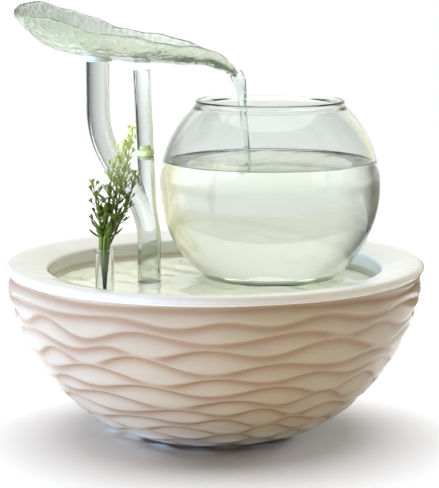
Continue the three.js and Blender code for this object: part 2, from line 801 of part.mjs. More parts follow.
function pump() {
  const group = new THREE.Group();
  group.add(
    pumpHousing(),
    pumpBackCover(),
    pottingResin(),
    basePlate(),
    ...baseScrews(),
    ...suctionCups(),
    statorCore(),
    ...windings(),
    rotorMagnet(),
    impeller(),
    ...shaftAndBushes(),
    voluteCover(),
    voluteSeal(),
    strainerCover(),
    filterSponge(),
    flowDial(),
    cableGland(),
  );
  group.position.set(...PUMP_AT);
  return group;
}

// ---- Assembly -----------------------------------------------------------------------------------
const fountain = new THREE.Group();
fountain.add(
  basin(),
  cableGrommet(),
  tray(),
  grommet("riser_grommet", RISER_AT, RISER.radius + GAP, 12.3, 15),
  grommet("vial_grommet", VIAL_AT, VIAL.radius + GAP, 8.9, 11),
  fishBowl(),
  plantVial(),
  plant(),
  glassRiser(),
  stopper(),
  leafSeal(),
  leafSpout(),
  pump(),
  riserCoupler(),
);

export default fountain;
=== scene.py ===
import json
import math
import random

import bmesh
import bpy
import numpy as np
from mathutils import Matrix, Vector


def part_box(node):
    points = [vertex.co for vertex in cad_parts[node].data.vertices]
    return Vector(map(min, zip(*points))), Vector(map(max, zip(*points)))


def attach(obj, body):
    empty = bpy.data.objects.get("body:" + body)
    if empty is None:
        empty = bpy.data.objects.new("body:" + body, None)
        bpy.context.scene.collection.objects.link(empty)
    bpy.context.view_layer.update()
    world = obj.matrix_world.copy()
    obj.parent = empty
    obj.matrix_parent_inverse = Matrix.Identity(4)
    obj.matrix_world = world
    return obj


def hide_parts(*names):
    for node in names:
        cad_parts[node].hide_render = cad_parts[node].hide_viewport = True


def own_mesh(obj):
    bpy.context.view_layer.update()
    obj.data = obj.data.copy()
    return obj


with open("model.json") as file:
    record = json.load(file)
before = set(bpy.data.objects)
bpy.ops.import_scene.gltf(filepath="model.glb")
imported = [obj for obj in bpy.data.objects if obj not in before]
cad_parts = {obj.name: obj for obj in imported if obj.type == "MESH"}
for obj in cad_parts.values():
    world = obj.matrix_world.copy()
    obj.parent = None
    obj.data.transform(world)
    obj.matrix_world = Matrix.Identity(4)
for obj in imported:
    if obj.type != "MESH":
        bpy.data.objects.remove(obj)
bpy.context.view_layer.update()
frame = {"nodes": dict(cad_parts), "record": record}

MM = 0.001
SEED = 7
TAU = 2 * math.pi
WELD = 1e-6
LENS = 151.4
CAMERA_AT = (0.0037, -1.5, 0.380)
CAMERA_AIM = (0.0037, 0, 0.139)
scene = bpy.context.scene


# ---- Camera ----
def add_camera():
    """A long lens a little above the rim, as a product photographer would stand."""
    data = bpy.data.cameras.new("camera")
    data.lens = LENS
    data.clip_start, data.clip_end = 0.05, 50
    camera = bpy.data.objects.new("camera", data)
    scene.collection.objects.link(camera)
    camera.location = CAMERA_AT
    camera.rotation_euler = (Vector(CAMERA_AIM) - camera.location).to_track_quat("-Z", "Y").to_euler()
    scene.camera = camera


add_camera()


# ---- Mesh helpers ----
def set_all(target, settings):
    for key, value in settings.items():
        setattr(target, key, value)
    return target


def mesh_object(name, verts, faces, material):
    """A smooth-shaded object from points and faces, with the named material."""
    data = bpy.data.meshes.new(name)
    data.from_pydata([tuple(map(float, v)) for v in verts], [], [tuple(map(int, f)) for f in faces])
    data.validate()
    data.shade_smooth()
    data.materials.append(mats[material])
    obj = bpy.data.objects.new(name, data)
    scene.collection.objects.link(obj)
    return obj


def circle(count):
    return np.linspace(0, TAU, count, endpoint=False)


def grid_faces(rows, cols, wrap_rows=False, wrap_cols=False):
    """Quads over a rows x cols grid of points, joined round where it wraps."""
    last_row = rows if wrap_rows else rows - 1
    last_col = cols if wrap_cols else cols - 1
    i, j = np.meshgrid(np.arange(last_row), np.arange(last_col), indexing="ij")
    down, right = (i + 1) % rows, (j + 1) % cols
    quads = np.stack([i * cols + j, i * cols + right, down * cols + right, down * cols + j], -1)
    return quads.reshape(-1, 4).tolist()


def rounded(corners, steps=6):
    """A profile through (r, z, radius) corners in millimetres, with each corner turned into an arc."""
    out = []
    count = len(corners)
    for i, (r, z, radius) in enumerate(corners):
        here = np.array([r, z], float)
        if radius == 0 or i in (0, count - 1):
            out.append(here)
            continue
        before = np.array(corners[i - 1][:2], float) - here
        after = np.array(corners[i + 1][:2], float) - here
        reach = min(radius, 0.48 * np.linalg.norm(before), 0.48 * np.linalg.norm(after))
        start = here + before / np.linalg.norm(before) * reach
        end = here + after / np.linalg.norm(after) * reach
        for t in np.linspace(0, 1, steps):
            out.append((1 - t) ** 2 * start + 2 * t * (1 - t) * here + t**2 * end)
    return np.array(out)


def lathe(name, profile, centre, material, segments=96, sharp=40):
    """A profile of (r, z) millimetres turned about the vertical through centre. It starts and ends on the
    axis, or closes on itself."""
    profile = np.asarray(profile, float) * MM
    closed = np.allclose(profile[0], profile[-1])
    if closed:
        profile = profile[:-1]
    angle = circle(segments)
    x = centre[0] + profile[:, :1] * np.cos(angle)
    y = centre[1] + profile[:, :1] * np.sin(angle)
    z = centre[2] + np.repeat(profile[:, 1:], segments, 1)
    verts = np.stack([x, y, z], -1).reshape(-1, 3)
    faces = grid_faces(len(profile), segments, wrap_rows=closed, wrap_cols=True)
    obj = mesh_object(name, verts, faces, material)
    clean(obj, WELD)
    if sharp:
        obj.data.set_sharp_from_angle(angle=math.radians(sharp))
    return obj


def clean(obj, distance):
    """Merges points that meet, drops empty faces and turns every face outwards."""
    b = bmesh.new()
    b.from_mesh(obj.data)
    bmesh.ops.remove_doubles(b, verts=b.verts, dist=distance)
    bmesh.ops.dissolve_degenerate(b, edges=b.edges, dist=distance / 10)
    bmesh.ops.recalc_face_normals(b, faces=b.faces)
    b.to_mesh(obj.data)
    b.free()
    obj.data.shade_smooth()


def modify(obj, kind, **settings):
    set_all(obj.modifiers.new(kind.lower(), kind), settings)


def apply_modifiers(obj):
    """Bakes an object's modifiers into its mesh."""
    deps = bpy.context.evaluated_depsgraph_get()
    made = bpy.data.meshes.new_from_object(obj.evaluated_get(deps))
    obj.modifiers.clear()
    obj.data = made


def boolean(obj, other, operation):
    """Joins or cuts obj with other, which is used up."""
    modify(obj, "BOOLEAN", object=other, operation=operation, solver="EXACT")
    apply_modifiers(obj)
    bpy.data.objects.remove(other)
    return obj


def tube_points(path, radii, sides):
    """Rings of points along a path, kept from twisting, as a (steps, sides, 3) array."""
    path = np.asarray(path, float)
    radii = np.broadcast_to(np.asarray(radii, float), (len(path),))
    tangent = np.gradient(path, axis=0)
    tangent /= np.linalg.norm(tangent, axis=1, keepdims=True)
    side = np.cross(tangent[0], [0, 1, 0] if abs(tangent[0][1]) < 0.9 else [1, 0, 0])
    rings = []
    angle = circle(sides)
    for point, along, radius in zip(path, tangent, radii):
        side = side - along * np.dot(side, along)
        side /= np.linalg.norm(side)
        other = np.cross(along, side)
        rings.append(point + radius * (np.outer(np.cos(angle), side) + np.outer(np.sin(angle), other)))
    return np.array(rings)


def capped(rings):
    """Points and faces of a closed body through rings, with a fan over each end."""
    steps, sides = rings.shape[:2]
    verts = np.concatenate([rings.reshape(-1, 3), rings[:1].mean(1), rings[-1:].mean(1)])
    faces = grid_faces(steps, sides, wrap_cols=True)
    first, last = steps * sides, steps * sides + 1
    low = (steps - 1) * sides
    for j in range(sides):
        nxt = (j + 1) % sides
        faces.append((first, nxt, j))
        faces.append((last, low + j, low + nxt))
    return verts, faces


def smooth_line(xs, ys, x, width):
    """ys over xs by straight lines, then rounded off over width."""
    dense = np.linspace(xs[0] - 4 * width, xs[-1] + 4 * width, 900)
    values = np.interp(dense, xs, ys)
    for end, inner in ((0, 1), (-1, -2)):
        slope = (ys[end] - ys[inner]) / (xs[end] - xs[inner])
        outside = dense < xs[0] if end == 0 else dense > xs[-1]
        values[outside] = ys[end] + slope * (dense[outside] - xs[end])
    offset = dense - dense[len(dense) // 2]
    kernel = np.exp(-0.5 * (offset / width) ** 2)
    kernel = kernel[kernel > 1e-4]
    pad = len(kernel) // 2
    padded = np.pad(values, pad, mode="reflect", reflect_type="odd")
    rounded_values = np.convolve(padded, kernel / kernel.sum(), mode="valid")[: len(dense)]
    return np.interp(x, dense, rounded_values)


# ---- Materials ----
mats = {}


def add_node(tree, kind, inputs=(), **settings):
    """A shader node with its inputs set, or linked where the input is another node's output."""
    made = set_all(tree.nodes.new("ShaderNode" + kind), settings)
    for key, value in dict(inputs).items():
        if isinstance(value, bpy.types.NodeSocket):
            tree.links.new(value, made.inputs[key])
        else:
            made.inputs[key].default_value = value
    return made


class Shader:
    """A node material being built, and listed in mats: nodes are made and linked in one call."""

    def __init__(self, name, **principled):
        self.material = mats[name] = bpy.data.materials.new(name)
        self.material.use_nodes = True
        self.tree = self.material.node_tree
        self.bsdf = self.tree.nodes["Principled BSDF"]
        self.output = self.tree.nodes["Material Output"]
        for socket, value in principled.items():
            self.bsdf.inputs[socket.replace("_", " ")].default_value = value

    def node(self, kind, inputs=(), **settings):
        return add_node(self.tree, kind, inputs, **settings)

    def coords(self):
        return self.node("TexCoord").outputs["Object"]

    def noise(self, scale, detail=3.0, roughness=0.5, **more):
        inputs = {"Scale": scale, "Detail": detail, "Roughness": roughness, **more}
        return self.node("TexNoise", {"Vector": self.coords(), **inputs}).outputs["Fac"]

    def cells(self, scale):
        made = self.node("TexVoronoi", {"Vector": self.coords(), "Scale": scale}, feature="F1")
        return made.outputs["Distance"]

    def stripes(self, scale, distortion, axis):
        inputs = {"Vector": self.coords(), "Scale": scale, "Distortion": distortion}
        return self.node("TexWave", inputs, bands_direction=axis).outputs["Fac"]

    def total(self, first, second):
        return self.node("Math", {0: first, 1: second}, operation="ADD").outputs["Value"]

    def ramp(self, factor, *stops):
        made = self.node("ValToRGB", {"Fac": factor})
        ramp = made.color_ramp
        ramp.interpolation = "EASE"
        while len(ramp.elements) < len(stops):
            ramp.elements.new(1.0)
        for element, (position, colour) in zip(ramp.elements, stops):
            element.position = position
            element.color = (*colour, 1)
        return made.outputs["Color"]

    def feed(self, socket, output):
        self.tree.links.new(output, self.bsdf.inputs[socket])

    def colour(self, factor, *stops):
        self.feed("Base Color", self.ramp(factor, *stops))

    def roughness(self, factor, low, high, start=0.3):
        self.feed("Roughness", self.ramp(factor, (start, (low,) * 3), (0.7, (high,) * 3)))

    def bump(self, height, distance, strength=1.0):
        made = self.node("Bump", {"Height": height, "Distance": distance, "Strength": strength})
        self.feed("Normal", made.outputs["Normal"])

    def surface(self, factor, first, second):
        """Shows first where factor is 0, and second where it is 1."""
        mix = self.node("MixShader", {0: factor, 1: first, 2: second})
        self.tree.links.new(mix.outputs["Shader"], self.output.inputs["Surface"])

    def see_through(self, tint, fog, density):
        """Shadow rays go straight through, tinted. Light inside the body slowly takes the fog's colour."""
        is_shadow = self.node("LightPath").outputs["Is Shadow Ray"]
        through = self.node("BsdfTransparent", {"Color": (*tint, 1)}).outputs["BSDF"]
        self.surface(is_shadow, self.bsdf.outputs["BSDF"], through)
        inside = self.node("VolumeAbsorption", {"Color": (*fog, 1), "Density": density})
        self.tree.links.new(inside.outputs["Volume"], self.output.inputs["Volume"])


def ceramic(name, light, pool_and_shade, deep, roughness):
    """Glossy glaze with faint mottling. A mesh attribute darkens and warms it: glaze pooled in the carving,
    and painted shade under the panels' edges, over the wall and round the rim.
    """
    s = Shader(name, Coat_Weight=0.15, Coat_Roughness=0.08, Specular_IOR_Level=0.3)
    carving = s.node("Attribute", attribute_name="pool_and_shade").outputs["Fac"]
    tone = s.ramp(carving, (0.0, light), (0.4, pool_and_shade), (1.0, deep))
    mottle = s.ramp(s.noise(38, 5, 0.6), (0.3, (0.93, 0.91, 0.9)), (0.7, (1, 1, 1)))
    mixed = s.node("MixRGB", {"Fac": 0.55, "Color1": tone, "Color2": mottle}, blend_type="MULTIPLY")
    s.feed("Base Color", mixed.outputs["Color"])
    s.roughness(s.noise(60, 4), roughness * 0.7, roughness * 1.4)
    s.bump(s.noise(120, 3, 0.55), 0.00012, 0.35)


def clear(name, colour, ior, fog, density, ripple=0.0, ripple_scale=None):
    """Clear glass or water. A ripple is its depth in metres."""
    s = Shader(name, Base_Color=(*colour, 1), Roughness=0.0, IOR=ior, Transmission_Weight=1.0)
    if ripple:
        s.bump(s.noise(ripple_scale, 2.5, 0.5), ripple)
    s.see_through([0.25 + 0.75 * c for c in colour], fog, density)


def jade_glass():
    """Cast pale green glass: clear, with fine seeds, streaks and a rippled skin."""
    s = Shader("green_glass", IOR=GLASS_IOR, Transmission_Weight=0.88, Specular_IOR_Level=0.5)
    cloud = s.noise(45, 4, 0.6, Distortion=0.6)
    s.colour(cloud, (0.3, (0.85, 0.91, 0.82)), (0.7, (0.94, 0.965, 0.91)))
    s.roughness(s.noise(80, 3), 0.01, 0.09, 0.35)
    s.bump(s.total(s.noise(110, 3, 0.5), s.cells(260.0)), 0.0005, 0.7)
    s.see_through((0.8, 0.9, 0.82), (0.55, 0.69, 0.52), 50.0)


def moulded(name, colour, roughness, grain=400.0, depth=0.00006, **more):
    """Moulded plastic or rubber with a fine spark-eroded texture and slightly uneven colour."""
    s = Shader(name, **more)
    dark, light = (tuple(c * k for c in colour) for k in (0.82, 1.12))
    s.colour(s.noise(45, 4, 0.6), (0.3, dark), (0.7, light))
    s.roughness(s.noise(90, 3), roughness * 0.85, roughness * 1.15)
    s.bump(s.noise(grain, 2, 0.6), depth, 0.5)


def laminated():
    """Stacked steel sheets: fine lines across the stack."""
    s = Shader("lamination_steel", Metallic=0.9)
    sheets = s.stripes(500.0, 0.3, "X")
    s.colour(sheets, (0.2, (0.16, 0.165, 0.17)), (0.8, (0.5, 0.5, 0.52)))
    s.roughness(s.noise(200), 0.3, 0.5)
    s.bump(sheets, 0.0001, 0.6)


def wound():
    """Enamelled copper wire laid in turns round the bobbin."""
    s = Shader("copper_wire", Metallic=0.85, Coat_Weight=0.5, Coat_Roughness=0.1)
    turns = s.stripes(480.0, 0.6, "Z")
    s.colour(turns, (0.1, (0.2, 0.06, 0.02)), (0.8, (0.75, 0.3, 0.13)))
    s.roughness(s.noise(150), 0.22, 0.4)
    s.bump(turns, 0.0002, 0.9)


def brushed():
    """Stainless steel with fine scratches."""
    s = Shader("stainless", Metallic=1.0, Anisotropic=0.4)
    s.colour(s.noise(300, 4), (0.3, (0.52, 0.53, 0.54)), (0.7, (0.72, 0.73, 0.74)))
    s.roughness(s.noise(500, 4), 0.2, 0.38)
    s.bump(s.noise(900, 2), 0.00003, 0.4)


def sponge():
    """Dark filter foam with open cells."""
    s = Shader("foam", Roughness=0.95, Sheen_Weight=0.2)
    holes = s.cells(900.0)
    s.colour(holes, (0.1, (0.03, 0.035, 0.04)), (0.7, (0.12, 0.14, 0.15)))
    s.bump(holes, 0.0006)


def greenery(name, low, high, bottom, top):
    """Moulded leaves or stalks that run from the low colour at one height to the high one at another."""
    s = Shader(name, Roughness=0.42, Subsurface_Weight=0.12, Subsurface_Scale=0.004)
    z = s.node("SeparateXYZ", {"Vector": s.coords()}).outputs["Z"]
    height = s.node("MapRange", {"Value": z, "From Min": bottom, "From Max": top}).outputs["Result"]
    blur = s.node("MapRange", {"Value": s.noise(90, 3), "To Min": -0.16, "To Max": 0.16}).outputs["Result"]
    middle = tuple((a + b) / 2 for a, b in zip(low, high))
    s.colour(s.total(height, blur), (0.0, low), (0.5, middle), (1.0, high))
    s.bump(s.noise(700, 3), 0.0001, 0.4)


# The basin glaze's own colour, then the tones its mesh attribute darkens it to: PEACH is painted shade on the
# wall, TAN is glaze pooled and painted shade deep in the grooves.
CREAM = (0.74, 0.735, 0.67)
PEACH = (0.435, 0.345, 0.22)
TAN = (0.3, 0.185, 0.1)
GLASS_TINT = (0.985, 0.995, 0.985)
GLASS_IOR, WATER_IOR, SILICONE_IOR = 1.5, 1.333, 1.41
ceramic("basin_glaze", CREAM, PEACH, TAN, 0.16)
ceramic("tray_glaze", (0.79, 0.8, 0.69), (0.66, 0.63, 0.52), (0.62, 0.55, 0.42), 0.3)
clear("clear_glass", GLASS_TINT, GLASS_IOR, (0.64, 0.7, 0.63), 95.0)
clear("tube_glass", GLASS_TINT, GLASS_IOR, (0.66, 0.7, 0.65), 200.0)
jade_glass()
moulded("clear_silicone", (0.84, 0.85, 0.76), 0.35, Transmission_Weight=0.25, IOR=SILICONE_IOR)
clear("falling_water", (1, 1, 1), WATER_IOR, (0.6, 0.72, 0.66), 110.0, 0.0005, 160.0)
clear("bowl_water", (1, 1, 1), WATER_IOR, (0.76, 0.775, 0.64), 3.4)
clear("pool_water", (1, 1, 0.99), WATER_IOR, (0.8, 0.88, 0.62), 7.0, 0.0006, 28.0)
moulded("green_silicone", (0.84, 0.93, 0.46), 0.3, Transmission_Weight=0.45, IOR=SILICONE_IOR)
moulded("black_rubber", (0.028, 0.028, 0.03), 0.7)
moulded("black_plastic", (0.03, 0.031, 0.034), 0.42)
moulded("grey_plastic", (0.13, 0.14, 0.15), 0.45)
moulded("white_plastic", (0.78, 0.75, 0.68), 0.42, depth=0.00002)
moulded("resin", (0.03, 0.026, 0.024), 0.18, grain=40.0, depth=0.0002)
moulded("ferrite", (0.06, 0.06, 0.066), 0.55, grain=900.0)
moulded("shaft_ceramic", (0.86, 0.85, 0.82), 0.2, depth=0.00001)
laminated()
wound()
brushed()
sponge()

slot_of = {row["node"]: row["material_slot"] for row in frame["record"]["subparts"]}


def place(obj, body, slot, *nodes):
    """Hangs a piece on the body it rides on and hides the CAD nodes it stands for. The slot is not used."""
    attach(obj, body)
    if nodes:
        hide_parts(*nodes)


# ---- Places, from the frame ----
def centre_of(node):
    low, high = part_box(node)
    return (low + high) / 2


def foot_of(node):
    """The point on the floor under a node's centre."""
    return Vector((*centre_of(node).xy, 0))


basin_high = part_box("basin")[1]
tray_low, tray_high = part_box("tray")
bowl_low, bowl_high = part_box("fish_bowl")
riser_low, riser_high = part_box("glass_riser")
vial_low, vial_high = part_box("plant_vial")
bowl_centre = centre_of("fish_bowl")
branch_at = foot_of("leaf_seal")
riser_at = foot_of("riser_grommet")
vial_at = foot_of("plant_vial")
POOL_DEPTH, BOWL_DEPTH = 5.5, 92
POOL_LEVEL = tray_high.z + POOL_DEPTH * MM
BOWL_LEVEL = bowl_low.z + BOWL_DEPTH * MM


# ---- Basin ----
# Radii and heights of the profile, in millimetres, and how full the wall is below and above.
LIP = basin_high.x / MM
RIM_RAISED = 1.8
TOP = basin_high.z / MM + RIM_RAISED
WALL, FOOT, SHOULDER = LIP - 2.2, 50, 115
FULL_LOW, FULL_HIGH = 1.6, 1.8
UNDER_LIP = TOP - 6
THICK = 7
BOTTOM = 9
COLLAR = tray_high.x / MM + 0.8
COLLAR_FOOT = 110
LEDGE = tray_low.z / MM - 0.3
LEDGE_EDGE, LEDGE_THICK = 116, 5.5
# The height of a band of painted shade round the inside of the collar, just above the water.
SHADE_BAND_HEIGHT = 112.0
# The carving: rows of waves, waves in a row, and how high and deep the step from row to row is.
RIDGES, WAVES_ROUND = 16, 11
STEP, CARVED = 3.6, 2.6
# How much painted shade darkens and warms the wall's glaze between the grooves, and the points round and up
# the carved skin.
WALL_SHADE_TONE = 0.40
COLUMNS, ROWS = 600, 240


def wall_radius(z):
    """The wall's radius at a height: it swells quickly from the foot and stands upright at the shoulder."""
    share = np.clip(z / SHOULDER, 0, 1)
    return FOOT + (WALL - FOOT) * (1 - (1 - share) ** FULL_LOW) ** (1 / FULL_HIGH)


def inner_wall(heights, thick):
    """Points up or down the inside of a wall this thick."""
    return np.stack([wall_radius(np.maximum(heights - 5, 0)) - thick, heights], -1)


def round_average(values, width):
    """Values round the basin, rounded off over width columns."""
    reach = np.arange(-3 * width, 3 * width + 1)
    kernel = np.exp(-0.5 * (reach / width) ** 2)
    kernel /= kernel.sum()
    padded = np.concatenate([values[-3 * width :], values, values[: 3 * width]])
    return np.convolve(padded, kernel, mode="valid")


def ridge_lines(along, angle):
    """The height of each wavy ridge along the wall's curve, for every angle. Neighbours are out of step,
    so that they part and close again in long lens shapes. The one under the lip is nearly level."""
    pick = np.random.RandomState(SEED)
    spacing = along / (RIDGES - 0.6)
    lines = []
    for k in range(RIDGES + 2):
        from_top = k - 1
        phase, drift, wobble, beat = pick.uniform(-0.7, 0.7), *pick.uniform(0, TAU, 3)
        size = 0.37 * spacing * min(1, 0.12 + 0.5 * max(from_top, 0))
        height = size * (1 + 0.35 * np.sin(2 * angle + drift) + 0.2 * np.sin(5 * angle + beat))
        swing = WAVES_ROUND * angle + math.pi * k + phase + 1.1 * np.sin(3 * angle + wobble)
        level = along - 0.3 - from_top * spacing
        lines.append(level + height * np.sin(swing) + 0.13 * spacing * np.sin(4 * angle + beat))
    ordered = np.sort(np.array(lines), axis=0)
    return np.array([round_average(line, 4) for line in ordered])


def basin_carving(t, lines):
    """How far the wall is cut back at t along its curve, and how dark the glaze is there: glaze pooled in the
    groove and painted shade under the panel above. Each panel stands proud at its lower edge and runs back in
    under the edge of the panel above it."""
    count = len(lines)
    below = np.clip((lines <= t).sum(0) - 1, 0, count - 2)
    column = np.arange(lines.shape[1])
    low, high = lines[below, column], lines[below + 1, column]
    gap = np.maximum(high - low, 0.5)
    share = np.clip((t - low) / gap, 0, 1)
    size = np.clip(gap / 12, 0.1, 1.15)
    under = np.clip((high - t) / STEP, 0, 1)
    under = under * under * (3 - 2 * under)
    lip = np.clip((t - low) / 1.6, 0, 1)
    cut = CARVED * size * share**1.35 * under + 0.3 * (1 - lip) ** 2
    # Pooled glaze and painted shade: strongest just under the upper panel's edge, fading out down the panel.
    fade_in = np.clip((high - t) / 1.4, 0, 1)
    fade_out = np.exp(-np.maximum(high - t - 3.0, 0) / 4.4)
    pool_and_shade = fade_in * fade_out * np.clip(gap / 7, 0.45, 1)
    return cut, pool_and_shade


def softened(field):
    """A field over (row, column), rounded off a little from row to row."""
    padded = np.pad(np.array(field), ((3, 3), (0, 0)), mode="edge")
    weights = np.array([1, 6, 15, 20, 15, 6, 1]) / 64
    count = len(padded) - 6
    return sum(w * padded[k : k + count] for k, w in enumerate(weights))


def carved_wall(angle):
    """Rings of radii and heights up the carved wall, and how much pooled glaze and painted shade darken the
    glaze round each.
    """
    z = UNDER_LIP * np.linspace(0, 1, 1500) ** 1.6
    radius = wall_radius(z)
    length = np.concatenate([[0], np.cumsum(np.hypot(np.diff(radius), np.diff(z)))])
    along = length[-1]
    t = np.linspace(0, along, ROWS)
    wall_z, wall_r = np.interp(t, length, z), np.interp(t, length, radius)
    normal = np.stack([np.gradient(wall_z, t), -np.gradient(wall_r, t)], -1)
    normal /= np.linalg.norm(normal, axis=1, keepdims=True)
    lines = ridge_lines(along, angle)
    cuts, pool_and_shade_rows = (softened(field) for field in zip(*(basin_carving(at, lines) for at in t)))
    rings, shade = [], []
    for i, (cut, pool_and_shade) in enumerate(zip(cuts, pool_and_shade_rows)):
        fade = min(1, t[i] / 4) * min(1, (along - t[i]) / 0.8)
        out = 0.6 * fade - cut * fade
        rings.append((wall_r[i] + out * normal[i, 0], np.maximum(wall_z[i] + out * normal[i, 1], 0)))
        # Painted shade: the wall's glaze is darker and warmer than the rim's, and lightens towards the foot
        # as painted light from below.
        body = WALL_SHADE_TONE * np.clip((t[i] - 18) / 60, 0, 1)
        shade.append((body + (1 - body) * pool_and_shade) * fade)
    return rings, shade


def rim_to_foot():
    """The plain part of the profile: over the rim, down the collar, round the inside and under the foot."""
    rim = rounded([
        (WALL, UNDER_LIP, 0),
        (WALL + 0.7, TOP - 5.1, 2),
        (LIP - 0.3, TOP - 4.0, 2),
        (LIP, TOP - 2.4, 2),
        (LIP - 2.6, TOP - 0.2, 3),
        (LIP - 12, TOP, 6),
        (COLLAR + 8, TOP - 2.6, 6),
        (COLLAR + 0.4, TOP - 4.2, 5),
        (COLLAR, TOP - 9, 2),
        (COLLAR, SHADE_BAND_HEIGHT + 2, 1),
        (COLLAR, SHADE_BAND_HEIGHT - 0.5, 1),
        (COLLAR, LEDGE, 0.8),
        (LEDGE_EDGE, LEDGE, 0.8),
        (LEDGE_EDGE, LEDGE - LEDGE_THICK, 0.8),
        (COLLAR + 6, LEDGE - LEDGE_THICK, 1),
        (COLLAR + 6, COLLAR_FOOT, 3),
        (wall_radius(105) - THICK, COLLAR_FOOT, 4),
    ])
    inside = inner_wall(np.linspace(108, BOTTOM, 12), THICK)
    foot = [(30, BOTTOM, 0), (0, BOTTOM, 0), (0, 2, 0), (FOOT - 8, 2, 1.5), (FOOT - 6, 0, 0)]
    foot = rounded([*foot, (FOOT - 1, 0, 0)], 5)
    return [*rim[1:], *inside, *foot[foot[:, 0] > 0.001]]


def plain_tone(r, height):
    """How dark the glaze is off the wall: painted shade round the rim's outer edge, a faint tint inside the
    collar and below it, and a band of painted shade round the collar just above the water.
    """
    # Painted shade on the lip's outer face, darkening the rim's edge towards the wall's tone.
    edge = 0.2 * min(1, max(0, (r - LIP + 6) / 4))
    if r >= COLLAR + 1:
        return edge
    # A band of painted shade round the collar, just above the waterline.
    shade_band = 0.25 * math.exp(-(((height - SHADE_BAND_HEIGHT) / 2.2) ** 2))
    return max(shade_band, edge, 0.04 if height < TOP - 5 else 0.0)


def basin_shell():
    """The glazed basin with its carved waves, rolled rim, inner collar and ledge, as one closed skin."""
    angle = circle(COLUMNS)
    rings, shade = carved_wall(angle)
    for r, height in rim_to_foot():
        rings.append((np.full(COLUMNS, r), np.full(COLUMNS, height)))
        shade.append(np.full(COLUMNS, plain_tone(r, height)))
    verts = np.array([np.stack([r * np.cos(angle), r * np.sin(angle), z], -1) for r, z in rings])
    faces = grid_faces(len(rings), COLUMNS, wrap_rows=True, wrap_cols=True)
    obj = mesh_object("basin_shell", verts.reshape(-1, 3) * MM, faces, "basin_glaze")
    attribute = obj.data.attributes.new("pool_and_shade", "FLOAT", "POINT")
    attribute.data.foreach_set("value", np.concatenate(shade).astype(np.float32))
    place(obj, "basin_and_pump", "basin_glaze", "basin")


basin_shell()


# ---- Fish bowl and its water ----
# Millimetres: radii of the bowl, its mouth and its foot, its glass, and how much the foot is thickened.
BOWL_R = (bowl_high.x - bowl_low.x) / 2 / MM + 0.05
MOUTH, BASE = 55, 44
GLASS, HEAVY = 2.8, 2.0
MIDDLE = math.sqrt(BOWL_R**2 - BASE**2)
# Where the stream lands, from the bowl's axis.
SPLASH = (-16.5, -12.0)


def sphere_arc(radius, start, end):
    """Points up or down a sphere about the bowl's middle, between two angles from the level."""
    angle = np.linspace(start, end, 60)
    return np.stack([radius * np.cos(angle), MIDDLE + radius * np.sin(angle)], -1)


def fish_bowl():
    """Blown glass bowl: heavy base, thin side and a rolled lip."""
    inside = BOWL_R - GLASS
    top = MIDDLE + BOWL_R * math.sin(math.acos(MOUTH / BOWL_R))
    outer = sphere_arc(BOWL_R, -math.acos(BASE / BOWL_R) + 0.03, math.acos(MOUTH / BOWL_R) - 0.03)
    inner = sphere_arc(inside, math.acos((MOUTH - GLASS) / inside), -math.asin((MIDDLE - 8) / inside))
    foot = [(0, 1.2, 0), (BASE - 14, 1.2, 6), (BASE - 8, 0, 3), (BASE - 1.5, 0, 3), (*outer[0], 0)]
    lip = rounded([
        (*outer[-1], 0),
        (MOUTH + 0.4, top + 0.8, 1.2),
        (MOUTH + 1.0, top + 1.8, 1.2),
        (MOUTH + 0.4, top + 3.2, 1.3),
        (MOUTH - 1.9, top + 3.2, 1.3),
        (MOUTH - 2.6, top + 1.0, 1.3),
        (*inner[0], 0),
    ])
    bottom = rounded([(*inner[-1], 0), (34, 6.2, 14), (0, 6, 0)], 8)
    profile = np.concatenate([rounded(foot)[:-1], outer, lip[1:-1], inner, bottom[1:]])
    profile[:, 1] += HEAVY * np.clip((profile[:, 1] - 1.5) / 4, 0, 1)
    at = (bowl_centre.x, bowl_centre.y, bowl_low.z)
    obj = lathe("fish_bowl_glass", profile, at, "clear_glass", 160, None)
    place(obj, "bowl", "clear_glass", "fish_bowl")


def bowl_surface(edge, level, angle):
    """The water's surface out from edge to the middle: a meniscus, a swell, and rings round the splash."""
    radius = np.concatenate([edge - np.array([0.5, 1.2, 2.4]), np.linspace(edge - 4, 0.4, 110)])
    meniscus = 1.1 * np.exp(-(edge - radius) / 0.9)
    x, y = radius[:, None] * np.cos(angle), radius[:, None] * np.sin(angle)
    away = np.hypot(x - SPLASH[0], y - SPLASH[1])
    rings = 0.55 * np.cos(away * 1.05) * np.exp(-away / 17) + 0.5 * np.exp(-((away / 3.2) ** 2))
    swell = 0.22 * np.sin(x / 7.1 + 1.3) * np.sin(y / 8.3) + 0.12 * np.sin(x / 3.3 - y / 4.1)
    height = level + meniscus[:, None] + rings + swell * np.clip((edge - radius[:, None]) / 8, 0, 1)
    return np.stack([x, y, height], -1)


def bowl_water():
    """Water up to its level, a hair into the glass, with rings where the stream lands."""
    segments = 160
    inside = BOWL_R - GLASS + 0.12
    level = (BOWL_LEVEL - bowl_low.z) / MM - HEAVY
    side = sphere_arc(inside, -math.asin((MIDDLE - 7.6) / inside), math.asin((level + 1.1 - MIDDLE) / inside))
    bottom = rounded([(0, 5.9, 0), (34, 6.1, 14), (*side[0], 0)], 8)
    body = np.concatenate([bottom[:-1], side])
    radius, height = body[:, :1], np.repeat(body[:, 1:], segments, 1)
    angle = circle(segments)
    body = np.stack([radius * np.cos(angle), radius * np.sin(angle), height], -1)
    points = np.concatenate([body, bowl_surface(side[-1, 0], level, angle)])
    verts = points.reshape(-1, 3) * MM + np.array([bowl_centre.x, bowl_centre.y, bowl_low.z + HEAVY * MM])
    faces = grid_faces(len(points), segments, wrap_cols=True)
    obj = mesh_object("bowl_water", verts, faces, "bowl_water")
    b = bmesh.new()
    b.from_mesh(obj.data)
    bmesh.ops.holes_fill(b, edges=b.edges, sides=segments)
    b.to_mesh(obj.data)
    b.free()
    clean(obj, WELD)
    place(obj, "bowl", None)


fish_bowl()
bowl_water()


